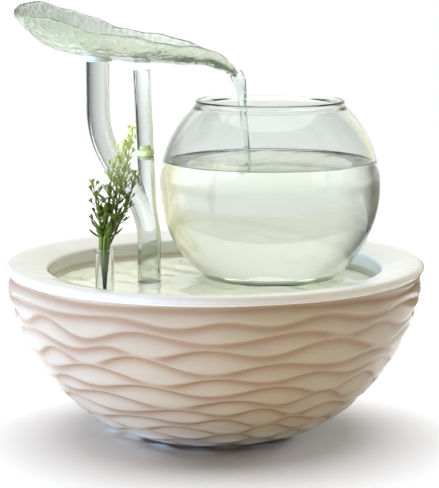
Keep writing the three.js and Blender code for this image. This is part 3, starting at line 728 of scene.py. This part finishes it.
# ---- Pool ----
def pool_water():
    """The water in the basin, from its floor up over the tray, a hair into the glaze all round."""
    level = POOL_LEVEL / MM
    wall = inner_wall(np.linspace(BOTTOM, LEDGE - 6, 24), THICK - 0.1)
    over_ledge = [(COLLAR + 3, LEDGE - 5), (COLLAR + 3, LEDGE - 0.5), (COLLAR + 0.1, LEDGE + 1)]
    meniscus = [(COLLAR + 0.1, level + 0.9), (COLLAR - 0.5, level + 0.35), (COLLAR - 1.6, level + 0.05)]
    surface = [(r, level) for r in np.linspace(COLLAR - 4, 6, 80)]
    profile = np.concatenate([[(0, 8.9), (FOOT, 8.9)], wall, over_ledge, meniscus, surface, [(0, level)]])
    obj = lathe("pool_water", profile, (0, 0, 0), "pool_water", 200, None)
    for v in obj.data.vertices:
        if v.co.z > POOL_LEVEL - 0.2 * MM and v.co.xy.length < (COLLAR - 2) * MM:
            x, y = v.co.x / MM, v.co.y / MM
            swell = 0.28 * math.sin(x / 9 + 0.6) * math.sin(y / 7.5 + 1)
            v.co.z += MM * (swell + 0.15 * math.sin(x / 4.2 + y / 5.1))
    place(obj, "basin_and_pump", None)


pool_water()


# ---- Riser ----
# Millimetres: radii and bores, the heights where the column bends, the arm and the pipe above it.
RISER_R, RISER_BORE = 8.6, 6.6
BEND_LOW, BEND_HIGH = 138.0, 240.0
FORK = 148.0
ARM_R, ARM_BORE, ARM_ROOT, ARM_LENGTH = 6.4, 4.7, -8, 56.0
ARM_LEAN = math.radians(2.4)
VOXEL = 0.5
PIPE_R, PIPE_BORE, PIPE_FROM, PIPE_TO = 6.2, 4.6, 5.3, 63.3


def bezier(points, steps):
    t = np.linspace(0, 1, steps)[:, None]
    a, b, c, d = (np.array(p, float) for p in points)
    return (1 - t) ** 3 * a + 3 * (1 - t) ** 2 * t * b + 3 * (1 - t) * t**2 * c + t**3 * d


def riser_solid(name, radius, arm_radius, past):
    """The forked tube's outside, or its bore, as one closed body that runs past the tube's ends."""
    reach = (branch_at.x - riser_at.x) / MM
    rise = BEND_HIGH - BEND_LOW
    bottom = riser_low.z / MM - past
    top = riser_high.z / MM + past
    column = [(0, 0, z) for z in np.linspace(bottom, BEND_LOW, 30)]
    pulls = [(0, 0, BEND_LOW + 0.46 * rise), (reach, 0, BEND_HIGH - 0.48 * rise)]
    curve = bezier([(0, 0, BEND_LOW), *pulls, (reach, 0, BEND_HIGH)], 60)
    head = [(reach, 0, z) for z in np.linspace(BEND_HIGH, top, 20)]
    path = np.concatenate([column, curve[1:], head[1:]])
    verts, faces = capped(tube_points(path, radius, 48))
    obj = mesh_object(name, verts * MM, faces, "tube_glass")
    way = np.array([-math.sin(ARM_LEAN), 0, math.cos(ARM_LEAN)])
    start = np.array([0, 0, FORK])
    arm_path = [start + way * s for s in np.linspace(ARM_ROOT, ARM_LENGTH + past, 40)]
    flare = np.clip(1 - np.linspace(ARM_ROOT, ARM_LENGTH, 40) / 22, 0, 1) ** 1.5
    verts, faces = capped(tube_points(arm_path, arm_radius + (radius - arm_radius) * flare, 48))
    arm = mesh_object("arm", verts * MM, faces, "tube_glass")
    return boolean(obj, arm, "UNION")


def glass_riser():
    """Hand-blown fork: the walls are blended by a fine remesh, so the joint has no crease."""
    obj = riser_solid("riser_glass", RISER_R, ARM_R, 0.0)
    boolean(obj, riser_solid("bore", RISER_BORE, ARM_BORE, 2.0), "DIFFERENCE")
    modify(obj, "REMESH", mode="VOXEL", voxel_size=VOXEL * MM)
    modify(obj, "SMOOTH", iterations=8, factor=0.5)
    apply_modifiers(obj)
    obj.data.shade_smooth()
    obj.data.materials.clear()
    obj.data.materials.append(mats["tube_glass"])
    obj.data.transform(Matrix.Translation(riser_at))
    place(obj, "riser", "clear_glass", "glass_riser")


glass_riser()


def stopper():
    """The yellow-green plug on the arm, and the open tube that stands in it."""
    turn = Matrix.Rotation(-ARM_LEAN, 4, "Y")
    foot = Vector((riser_at.x, riser_at.y, FORK * MM)) + turn @ Vector((0, 0, ARM_LENGTH * MM))
    seal = [(0, -2.5, 0), (4.3, -2.5, 0.6), (4.5, 0.3, 0.3), (6.3, 0.3, 0.9), (6.6, 2.6, 1.2)]
    seal += [(6.3, 5, 0.9), (4.3, 5, 0.3), (4.1, 8, 0.6), (0, 8, 0)]
    plug = lathe("stopper_plug", rounded(seal, 5), (0, 0, 0), "green_silicone", 64)
    tube = [(PIPE_BORE, 6, 0), (PIPE_BORE, PIPE_FROM, 0), (PIPE_R, PIPE_FROM, 0.4)]
    tube += [(PIPE_R, PIPE_TO, 0.6), (PIPE_BORE, PIPE_TO, 0.6), (PIPE_BORE, 6, 0)]
    pipe = lathe("stopper_pipe", rounded(tube, 5), (0, 0, 0), "tube_glass")
    for piece in (plug, pipe):
        piece.data.transform(Matrix.Translation(foot) @ turn)
    place(plug, "riser", "green_silicone", "stopper_seal")
    place(pipe, "riser", "clear_glass", "stopper_tube")


stopper()


# ---- Leaf ----
# Along the leaf from the branch: distance, half width, near rim, far rim and belly heights.
STATIONS = np.array([
    (-60, 6, 309, 311, 306),
    (-54, 24, 308.5, 313.5, 299),
    (-43, 36, 307, 315, 289),
    (-28, 44, 304, 312, 281.5),
    (-10, 47, 298, 306, 278.5),
    (14, 44, 293.5, 296, 275),
    (38, 35, 289.5, 292.5, 272.8),
    (62, 23, 285, 287, 271),
    (82, 13, 281, 281.5, 269),
    (94, 9, 275, 276, 264.5),
    (102, 7, 267, 267, 260.5),
])
LEAF_TURN = math.radians(6)
LEAF_WALL = 3.4
LEAF_BACK, LEAF_TIP = -60.2, 102.5
LEAF_ACROSS = 44
LEAF_HOLE = 10.9


def leaf_line(column, u):
    """One column of STATIONS at u, rounded off over 3 mm."""
    return smooth_line(STATIONS[:, 0], STATIONS[:, column], u, 3.0)


def leaf_to_world(points):
    """The leaf's own millimetres, along, across and up, as places in the scene."""
    turned = Matrix.Rotation(LEAF_TURN, 3, "Z")
    points = np.asarray(points) @ np.array(turned).T
    return points * MM + np.array(branch_at)


def leaf_section(u, side_angle, inset):
    """Points across the leaf at u. side_angle runs 0 to pi, near rim to far rim."""
    half, near, far, belly = (float(leaf_line(k, u)) for k in (1, 2, 3, 4))
    side = -np.cos(side_angle)
    rim = near + (far - near) * (side + 1) / 2
    edge = np.abs(side) ** 6
    rim = rim + edge * (0.8 * np.sin(u / 8.5 + 1.1 * side) + 0.4 * np.sin(u / 3.4))
    width = max(half - inset, 0.6) + edge * 0.7 * math.sin(u / 6 + 1)
    depth = np.sin(side_angle) ** 0.8
    height = rim - np.maximum(rim - belly - inset, 0) * depth
    fan = np.arctan2(side * half, u + 75)
    ribs = 0.75 * np.cos(fan * 30 + 0.4 * np.sin(u / 6)) * depth * np.clip(half / 30, 0.25, 1)
    ripple = 0.35 * np.sin(u / 5.2 + 2 * side) * depth
    height = height + ribs + ripple
    return np.stack([np.full_like(side, u), side * width, height], -1)


def leaf_ring(u, angle):
    """The leaf's skin round one section: outside, far rim, inside and near rim. The back end is closed."""
    closing = max(0.0, 1 - (u - LEAF_BACK) / 3.6)
    outer = leaf_section(u, angle, 0.0)
    inner = leaf_section(u, angle[::-1], LEAF_WALL + 8 * closing)
    inner[:, 2] = np.maximum(inner[:, 2], np.interp(inner[:, 1], outer[:, 1], outer[:, 2]) + 1.0)
    raised = [0, 0, 0.5 * LEAF_WALL * (1 - closing)]
    near = (outer[0] + inner[-1]) / 2 + raised
    far = (outer[-1] + inner[0]) / 2 + raised
    return np.concatenate([outer, [far], inner, [near]])


def leaf_end(base, step):
    """Faces over an end ring that starts at point base. step -1 turns them round, for the back end."""
    last = base + 2 * LEAF_ACROSS
    faces = [(base + j, base + j + 1, last - 1 - j, last - j)[::step] for j in range(LEAF_ACROSS - 1)]
    middle = base + LEAF_ACROSS
    faces.append((middle - 1, middle, middle + 1)[::step])
    faces.append((last + 1, base, last)[::step])
    return faces


def leaf():
    """Thick cast-glass leaf: a ribbed trough with wavy, rounded rims and a hooked spout."""
    angle = np.linspace(0, math.pi, LEAF_ACROSS)
    us = np.concatenate([np.linspace(LEAF_BACK, -52, 16)[:-1], np.linspace(-52, LEAF_TIP, 150)])
    rings = np.array([leaf_ring(u, angle) for u in us])
    rows, sides = rings.shape[:2]
    faces = grid_faces(rows, sides, wrap_cols=True) + leaf_end(0, -1) + leaf_end((rows - 1) * sides, 1)
    obj = mesh_object("leaf_glass", leaf_to_world(rings.reshape(-1, 3)), faces, "green_glass")
    clean(obj, WELD)
    hole = [(0, 262), (LEAF_HOLE, 262), (LEAF_HOLE, 300), (0, 300)]
    cutter = lathe("hole", hole, branch_at, "green_glass", 48)
    boolean(obj, cutter, "DIFFERENCE")
    modify(obj, "SUBSURF", levels=1, render_levels=1)
    apply_modifiers(obj)
    obj.data.shade_smooth()
    place(obj, "leaf", "green_glass", "leaf_spout")
    return obj


leaf_glass = leaf()


def leaf_seal():
    """The soft collar on the branch, with a lip under the leaf."""
    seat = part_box("leaf_seal")[0].z / MM
    corners = [(8.9, 1.6, 0), (8.9, 0.9, 0.3), (11.0, 0.9, 0.4), (11.0, 1.8, 0.4), (10.5, 2.2, 0.4)]
    corners += [(10.5, 10, 0.6), (8.9, 10, 0.4), (8.9, 1.6, 0)]
    profile = rounded([(r, seat + z, radius) for r, z, radius in corners], 5)
    ring = lathe("leaf_collar", profile, branch_at, "clear_silicone", 72)
    place(ring, "swivel_seal", "clear_silicone", "leaf_seal")


leaf_seal()


def leaf_film():
    """The sheet of water that runs down the leaf to its spout."""
    angle = np.linspace(0, math.pi, 25)
    rings = []
    for u in np.linspace(-24, 103.2, 110):
        floor = leaf_section(u, angle, LEAF_WALL - 0.1)
        belly = float(leaf_line(4, u))
        level = belly + LEAF_WALL + np.interp(u, [-24, 0, 60, 94, 103.2], [2.2, 4.6, 4.2, 3.6, 2.2])
        level += 0.35 * math.sin(u / 4.3) + 0.2 * math.sin(u / 2.1 + 1)
        wet = floor[floor[:, 2] < level]
        if len(wet) < 3:
            continue
        y = np.linspace(wet[0, 1], wet[-1, 1], 15)
        low = np.interp(y, floor[:, 1], floor[:, 2])
        high = level + 0.25 * np.sin(y / 3.1 + u / 5)
        top = np.stack([np.full_like(y, u), y, np.maximum(high, low + 0.15)], -1)
        under = np.stack([np.full_like(y, u), y, low], -1)
        rings.append(np.concatenate([under, top[::-1]]))
    verts, faces = capped(np.array(rings))
    obj = mesh_object("leaf_water", leaf_to_world(verts), faces, "bowl_water")
    clean(obj, WELD)
    place(obj, "leaf", None)


leaf_film()


# The stream at shares of its fall, and past the surface: half width and half depth in millimetres.
STREAM_AT = [0, 0.1, 0.24, 0.38, 0.83, 1.0, 1.15, 2]
STREAM_WIDE = [4.8, 5.4, 4.0, 2.8, 2.0, 1.9, 1.5, 1.2]
STREAM_THICK = [2.2, 3.0, 2.7, 2.2, 1.7, 1.6, 1.4, 1.1]


def stream_ring(f, angle):
    """The stream's outline at f of its fall, level: a rippled ribbon that turns as it falls."""
    wave = 1 + 0.05 * math.sin(f * 23) + 0.03 * math.sin(f * 51 + 1)
    wide = np.interp(f, STREAM_AT, STREAM_WIDE) * wave * MM
    thick = np.interp(f, STREAM_AT, STREAM_THICK) * MM
    turn = math.radians(20) - 0.3 * min(f, 1)
    across = np.array([math.cos(turn), math.sin(turn), 0])
    along = np.array([-math.sin(turn), math.cos(turn), 0])
    ridge = 1 + 0.1 * np.sin(3 * angle + 9 * f) + 0.05 * np.sin(5 * angle - 14 * f)
    return np.outer(np.cos(angle) * wide * ridge, across) + np.outer(np.sin(angle) * thick * ridge, along)


def falling_stream():
    """The stream: it leaves the spout as a ribbon, arcs over and draws in to a rope."""
    tip = leaf_to_world([[100.5, 0, 266.5]])[0]
    target = np.array([bowl_centre.x + SPLASH[0] * MM, bowl_centre.y + SPLASH[1] * MM])
    drop = tip[2] - BOWL_LEVEL
    below = 0.0008
    fall = np.concatenate([np.linspace(0, 1, 110) ** 1.6, [1.15, 1 + below / drop]])
    angle = circle(28)
    rings = []
    for f in fall:
        share = math.sqrt(min(f, 1))
        x, y = tip[:2] + (target - tip[:2]) * share
        rings.append(stream_ring(f, angle) + np.array([x, y, tip[2] - drop * f]))
    verts, faces = capped(np.array(rings))
    obj = mesh_object("stream", verts, faces, "falling_water")
    clean(obj, WELD)
    place(obj, "leaf", None)
    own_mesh(obj)


falling_stream()


# ---- Vial and sprig ----
VIAL_R, VIAL_LIP, VIAL_GLASS = 6.6, 7.3, 1.1


def vial():
    """The thin glass vial, with a round bottom and a rolled lip."""
    bottom, top = vial_low.z / MM, vial_high.z / MM
    bore = VIAL_R - VIAL_GLASS
    corners = [(0, bottom, 0), (VIAL_R, bottom, 6), (VIAL_R, top - 2.6, 1), (VIAL_LIP, top - 1.2, 0.8)]
    corners += [(VIAL_LIP - 0.2, top, 0.7), (bore, top, 0.7), (bore, bottom + 1.2, 5), (0, bottom + 1.2, 0)]
    obj = lathe("vial_glass", rounded(corners, 8), vial_at, "clear_glass", 72, None)
    place(obj, "vial", "clear_glass", "plant_vial")


vial()


def blade(base, way, length, width, bend, blunt):
    """One small leaf: a flattened, tapering rod. blunt 1 keeps its tip broad, 0 draws it to a point."""
    way = way.normalized()
    side = way.cross(Vector((0, 0, 1)))
    if side.length < 0.1:
        side = Vector((1, 0, 0))
    side.normalize()
    up = side.cross(way)
    steps, sides = 8, 6
    rings = []
    for i in range(steps):
        t = i / (steps - 1)
        at = base + way * (length * t) + up * (bend * length * t * t)
        swell = width * (0.4 + 0.6 * math.sin(math.pi * min(1, 0.1 + 0.75 * t**1.5)))
        if t > 0.75:
            swell *= 1 - (1 - 0.55 * blunt) * ((t - 0.75) / 0.25) ** 2
        ring = []
        for j in range(sides):
            a = TAU * j / sides
            ring.append(at + side * (math.cos(a) * swell) + up * (math.sin(a) * swell * 0.4))
        rings.append(ring)
    return capped(np.array(rings))


# The collar's rows of leaves: height above the sprig's foot, length, width and slope in degrees.
COLLAR_LEAVES = [(5, 13.5, 2.0, 22), (9, 13.5, 2.0, 28), (14, 12.5, 1.8, 34), (20, 11.5, 1.6, 40)]
# The stems: the tip's x and y, its share of the full height, where its forks begin and its nodes.
SPRIG_STEMS = [
    (20, 0, 1.0, 0.2, 13),
    (-7, -2, 0.52, 0.35, 5),
    (22, 3, 0.6, 0.35, 5),
    (6, 3, 0.68, 0.3, 6),
    (13, -3, 0.84, 0.3, 7),
]
# Millimetres: the sprig's foot and its stalks' top, and the twigs' length at the foot and at the tip.
SPRIG_FOOT, STALKS_TOP = 150, 162
TWIG_LOW, TWIG_HIGH = 10.5, 5.2


class Sprig:
    """Collects blades, stems or stalks of the artificial sprig into one mesh."""

    def __init__(self):
        self.verts, self.faces, self.count = [], [], 0
        self.pick = random.Random(SEED)

    def add(self, part):
        self.verts.append(part[0])
        self.faces.extend([tuple(self.count + k for k in face) for face in part[1]])
        self.count += len(part[0])

    def fork(self, start, way, length, width):
        """A twig that splits into two or three short prongs with lobed tips."""
        pick = self.pick
        self.add(blade(start, way, length, width * 0.6, 0.1, 0.6))
        knee = start + way.normalized() * (length * 0.86)
        side = way.cross(Vector((0, 0, 1))).normalized()
        turn = pick.uniform(-0.6, 0.6)
        side = (side + way.cross(side) * turn).normalized()
        spread = (-0.95, 0.05, 0.95) if pick.random() < 0.35 else (-0.7, 0.75)
        for lean in spread:
            prong = way.normalized() + side * (lean + pick.uniform(-0.2, 0.2)) + Vector((0, 0, 0.3))
            self.add(blade(knee, prong, length * pick.uniform(0.55, 0.8), width * 0.7, 0.15, 0.3))

    def spoon(self, start, way, length, width):
        """A broad lower leaf with a raised midrib."""
        self.add(blade(start, way, length, width, 0.32, 0.8))
        self.add(blade(start + Vector((0, 0, width * 0.25)), way, length * 0.9, width * 0.22, 0.34, 0.4))

    def stem(self, foot, tip, first, nodes):
        """An upright stem that bows a little, with forks all round it at each node."""
        pick = self.pick
        bow = Vector((pick.uniform(-1, 1), pick.uniform(-1, 1), 0)) * (1.6 * MM)
        path = [foot.lerp(tip, t) + bow * math.sin(math.pi * t) for t in np.linspace(0, 1, 20)]
        self.add(capped(tube_points([tuple(p) for p in path], np.linspace(0.85, 0.4, 20) * MM, 8)))
        for k in range(nodes):
            t = first + (1 - first) * k / (nodes - 1)
            at = foot.lerp(tip, t) + bow * math.sin(math.pi * t)
            size = (TWIG_LOW + (TWIG_HIGH - TWIG_LOW) * t) * MM
            turn = pick.uniform(0, TAU)
            for j in range(3):
                around = turn + TAU * j / 3 + pick.uniform(-0.3, 0.3)
                rise = math.radians(24 + 34 * t + pick.uniform(-8, 8))
                way = Vector((math.cos(around), math.sin(around), math.tan(rise))).normalized()
                self.fork(at, way, size * pick.uniform(0.8, 1.15), (1.65 - 0.45 * t) * MM)


def sprig():
    """Artificial sprig: a collar of wedge leaves, and five forked stems of different height above it. The
    tallest leans to the right."""
    plant = Sprig()
    pick = plant.pick
    foot = Vector((vial_at.x, vial_at.y, SPRIG_FOOT * MM))
    for k, (rise, length, width, slope) in enumerate(COLLAR_LEAVES):
        for j in range(6):
            around = TAU * j / 6 + k * 0.8 + pick.uniform(-0.25, 0.25)
            up = math.tan(math.radians(slope + pick.uniform(-9, 9)))
            way = Vector((math.cos(around), math.sin(around), up)).normalized()
            start = foot + Vector((0.08 * rise, 0, rise)) * MM
            start += Vector((math.cos(around), math.sin(around), 0)) * (1.5 * MM)
            plant.spoon(start, way, length * pick.uniform(0.8, 1.1) * MM, width * MM)
    reach = foliage_high.z - foot.z - 9 * MM
    for x, y, height, first, nodes in SPRIG_STEMS:
        start = foot + Vector((0.1 * x, 0.6 * y, -3)) * MM
        plant.stem(start, foot + Vector((x * MM, y * MM, reach * height)), first, nodes)
    obj = mesh_object("sprig_leaves", np.concatenate(plant.verts), plant.faces, "foliage_green")
    place(obj, "plant", "foliage_green", "plant_foliage")


def sprig_stem():
    """The bundle of stalks that narrows down into the vial: eight in a ring and three inside it."""
    stalks = Sprig()
    bottom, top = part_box("plant_stem")[0].z, STALKS_TOP * MM
    shares = np.linspace(0, 1, 20)
    radii = np.interp(shares, [0, 0.2, 0.5, 0.75, 1], [0.6, 0.7, 0.8, 1.2, 0.7]) * MM
    for k in range(11):
        angle = TAU * k / 8
        spread = 1.0 if k < 8 else 0.4
        path = []
        for t in shares:
            r = spread * np.interp(t, [0, 0.15, 0.4, 0.75, 1], [0.2, 0.3, 0.7, 2.7, 3.7]) * MM
            x = vial_at.x + r * math.cos(angle + t)
            y = vial_at.y + r * math.sin(angle + t)
            path.append((x, y, bottom + (top - bottom) * t))
        stalks.add(capped(tube_points(path, radii, 10)))
    obj = mesh_object("sprig_stalks", np.concatenate(stalks.verts), stalks.faces, "stem_green")
    place(obj, "plant", "stem_green", "plant_stem")


foliage_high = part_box("plant_foliage")[1]
greenery("foliage_green", (0.07, 0.115, 0.006), (0.66, 0.74, 0.2), 0.184, foliage_high.z)
greenery("stem_green", (0.008, 0.012, 0.008), (0.16, 0.25, 0.035), 0.122, STALKS_TOP * MM)
sprig()
sprig_stem()


# ---- CAD pieces that stay ----
EDGE, EDGE_ANGLE, SHARP_ANGLE = 0.25, math.radians(40), math.radians(32)


def dress_cad_nodes():
    """Every CAD piece that shows gets its material, soft edges and smooth shading over its facets."""
    for name, obj in frame["nodes"].items():
        obj.data.materials.clear()
        obj.data.materials.append(mats[slot_of[name]])
        obj.data.shade_smooth()
        obj.data.set_sharp_from_angle(angle=SHARP_ANGLE)
        if not obj.hide_render:
            modify(obj, "BEVEL", width=EDGE * MM, segments=2, limit_method="ANGLE", angle_limit=EDGE_ANGLE)


dress_cad_nodes()


# ---- Studio ----
SUN_ENERGY, SUN_ANGLE, SUN_TILT = 3.08, 66, -9
FILL_ENERGY, FILL_ANGLE = 0.6, 165
KEY_POWER, KEY_COLOUR = 44, (0.63, 0.89, 1.68)
UNDER_POWER, UNDER_COLOUR = 0.8, (0.97, 0.97, 1.0)
WASH_POWER, WASH_COLOUR = 13, (0.95, 0.98, 1.0)
FLOOR_DARK, FLOOR_LIGHT = (0.855, 0.865, 0.88), (0.87, 0.88, 0.895)
FLOOR_RADIUS, FLOOR_HEIGHT = 40, -0.0002
CARD_POINTS = 13
WINDOW_SIDE = (0.97, 1.0, 1.0)
ROOM_SIDE = (0.62, 0.59, 0.53)
BACK_WALL = (1.0, 1.0, 0.95)
# Cards: the low and high corner, the tone, and where the card is seen.
CARDS = {
    "flag": ((-1.5, 0.5, -0.10), (-0.06, 0.5, 0.42), (0.03, 0.028, 0.025), "GLASS"),
    "glow": ((0.2, 0.5, -0.10), (1.3, 0.5, 0.42), (1.15, 1.07, 0.78), "GLASS"),
    "shade_left": ((-1.0, 0.32, -0.03), (-0.13, 0.32, 0.17), (0.48, 0.45, 0.44), "REFLECTION"),
    "shade_right": ((0.13, 0.32, -0.03), (1.0, 0.32, 0.17), (0.3, 0.28, 0.22), "REFLECTION"),
    "window": ((-1.3, -0.5, 0.45), (-0.75, -1.2, 1.0), (3.2, 3.3, 3.3), "REFLECTION"),
    "door": ((1.0, -1.1, 0.2), (1.3, -0.7, 0.9), (1.6, 1.5, 1.35), "REFLECTION"),
}


def studio_floor():
    """A wide pale floor, a hair under the basin's foot."""
    at = (0, 0, FLOOR_HEIGHT)
    bpy.ops.mesh.primitive_circle_add(vertices=128, radius=FLOOR_RADIUS, fill_type="NGON", location=at)
    floor = bpy.context.object
    floor.name = "floor"
    s = Shader("floor", Roughness=0.8, Specular_IOR_Level=0.1)
    s.colour(s.noise(3, 2), (0.3, FLOOR_DARK), (0.7, FLOOR_LIGHT))
    floor.data.materials.append(s.material)
    return floor


def add_lamp(name, kind, **settings):
    """A lamp that isn't itself seen in reflections."""
    lamp = bpy.data.objects.new(name, set_all(bpy.data.lights.new(name, kind), settings))
    lamp.visible_glossy = False
    scene.collection.objects.link(lamp)
    return lamp


def sun_light(name, energy, angle, tilt):
    """A wide overhead light, like a ceiling of softboxes, that leaves a soft shadow under the basin."""
    sun = add_lamp(name, "SUN", energy=energy, angle=math.radians(angle))
    sun.rotation_euler = (math.radians(tilt), 0, 0)


def area_light(name, location, aim, size, power, colour):
    """A softbox that isn't seen through glass either."""
    width, height = size
    light = add_lamp(name, "AREA", shape="RECTANGLE", size=width, size_y=height, energy=power, color=colour)
    light.location = location
    light.rotation_euler = (Vector(aim) - Vector(location)).to_track_quat("-Z", "Y").to_euler()
    light.visible_transmission = False
    return light


def link_to(light, state, *objects):
    """EXCLUDE: the light falls on everything but these. INCLUDE: it falls on these alone."""
    group = bpy.data.collections.new(light.name)
    for obj in objects:
        group.objects.link(obj)
    for entry in group.collection_objects:
        entry.light_linking.link_state = state
    light.light_linking.receiver_collection = group


def studio_world():
    """What the glass sees: a bright window side on the left, a pale wall behind, a dim warm room on the
    right and a slightly darker ceiling. Diffuse light comes from the lamps and the floor alone."""
    world = bpy.data.worlds.new("studio")
    scene.world = world
    world.use_nodes = True
    world.cycles_visibility.diffuse = False
    tree = world.node_tree
    direction = add_node(tree, "TexCoord").outputs["Generated"]
    split = add_node(tree, "SeparateXYZ", {"Vector": direction})

    def spread(axis, low, high, **ends):
        inputs = {"Value": split.outputs[axis], "From Min": low, "From Max": high, **ends}
        return add_node(tree, "MapRange", inputs, interpolation_type="SMOOTHSTEP").outputs["Result"]

    def blend(kind, factor, first, second):
        inputs = {"Fac": factor, "Color1": first, "Color2": second}
        return add_node(tree, "MixRGB", inputs, blend_type=kind).outputs["Color"]

    sides = blend("MIX", spread("X", -0.85, 0.8), (*WINDOW_SIDE, 1), (*ROOM_SIDE, 1))
    behind = blend("MIX", spread("Y", 0.6, 0.95), sides, (*BACK_WALL, 1))
    overhead = spread("Z", 0.15, 1.0, **{"To Min": 1.0, "To Max": 0.6})
    whole = blend("MULTIPLY", 1.0, behind, overhead)
    tree.links.new(whole, tree.nodes["Background"].inputs["Color"])


def card(name, low, high, tone, seen_in):
    """An upright card with soft edges, out of the picture, seen only in reflections or through glass."""
    points = CARD_POINTS
    share = np.linspace(0, 1, points)
    x, y, z = (a + (b - a) * share for a, b in zip(low, high))
    verts = [(x[i], y[i], height) for height in z for i in range(points)]
    s = Shader(name)
    fade = s.node("Attribute", attribute_name="fade").outputs["Fac"]
    tones = s.ramp(s.noise(6, 2), (0.3, tone), (0.7, tuple(c * 1.3 for c in tone)))
    glow = s.node("Emission", {"Color": tones}).outputs["Emission"]
    s.surface(fade, s.node("BsdfTransparent").outputs["BSDF"], glow)
    obj = mesh_object(name, verts, grid_faces(points, points), name)
    edge = np.clip(np.minimum(np.arange(points), np.arange(points)[::-1]) / 2, 0, 1)
    attribute = obj.data.attributes.new("fade", "FLOAT", "POINT")
    attribute.data.foreach_set("value", np.outer(edge, edge).ravel().astype(np.float32))
    obj.visible_camera = obj.visible_diffuse = obj.visible_shadow = False
    obj.visible_glossy = seen_in == "REFLECTION"
    obj.visible_transmission = seen_in == "GLASS"


def lamps():
    """Cool light low from the left, a faint one under the front, and one on each side for the floor."""
    key = area_light("key", (-1.5, -0.45, 0.15), (0, 0, 0.07), (0.8, 0.28), KEY_POWER, KEY_COLOUR)
    link_to(key, "EXCLUDE", floor, leaf_glass)
    under = area_light("under", (0, -0.45, 0.01), (0, 0, 0.02), (0.6, 0.1), UNDER_POWER, UNDER_COLOUR)
    link_to(under, "EXCLUDE", floor)
    for side in (-1, 1):
        at = (1.15 * side, 0.8, 0.4)
        wash = area_light(f"wash_{side}", at, (0, 0, 0), (0.8, 0.3), WASH_POWER, WASH_COLOUR)
        link_to(wash, "INCLUDE", floor)


sun_light("ceiling", SUN_ENERGY, SUN_ANGLE, SUN_TILT)
sun_light("fill", FILL_ENERGY, FILL_ANGLE, 0)
floor = studio_floor()
studio_world()
lamps()
for name, settings in CARDS.items():
    card(name, *settings)
scene.view_settings.view_transform = "Standard"
scene.cycles.use_denoising = True
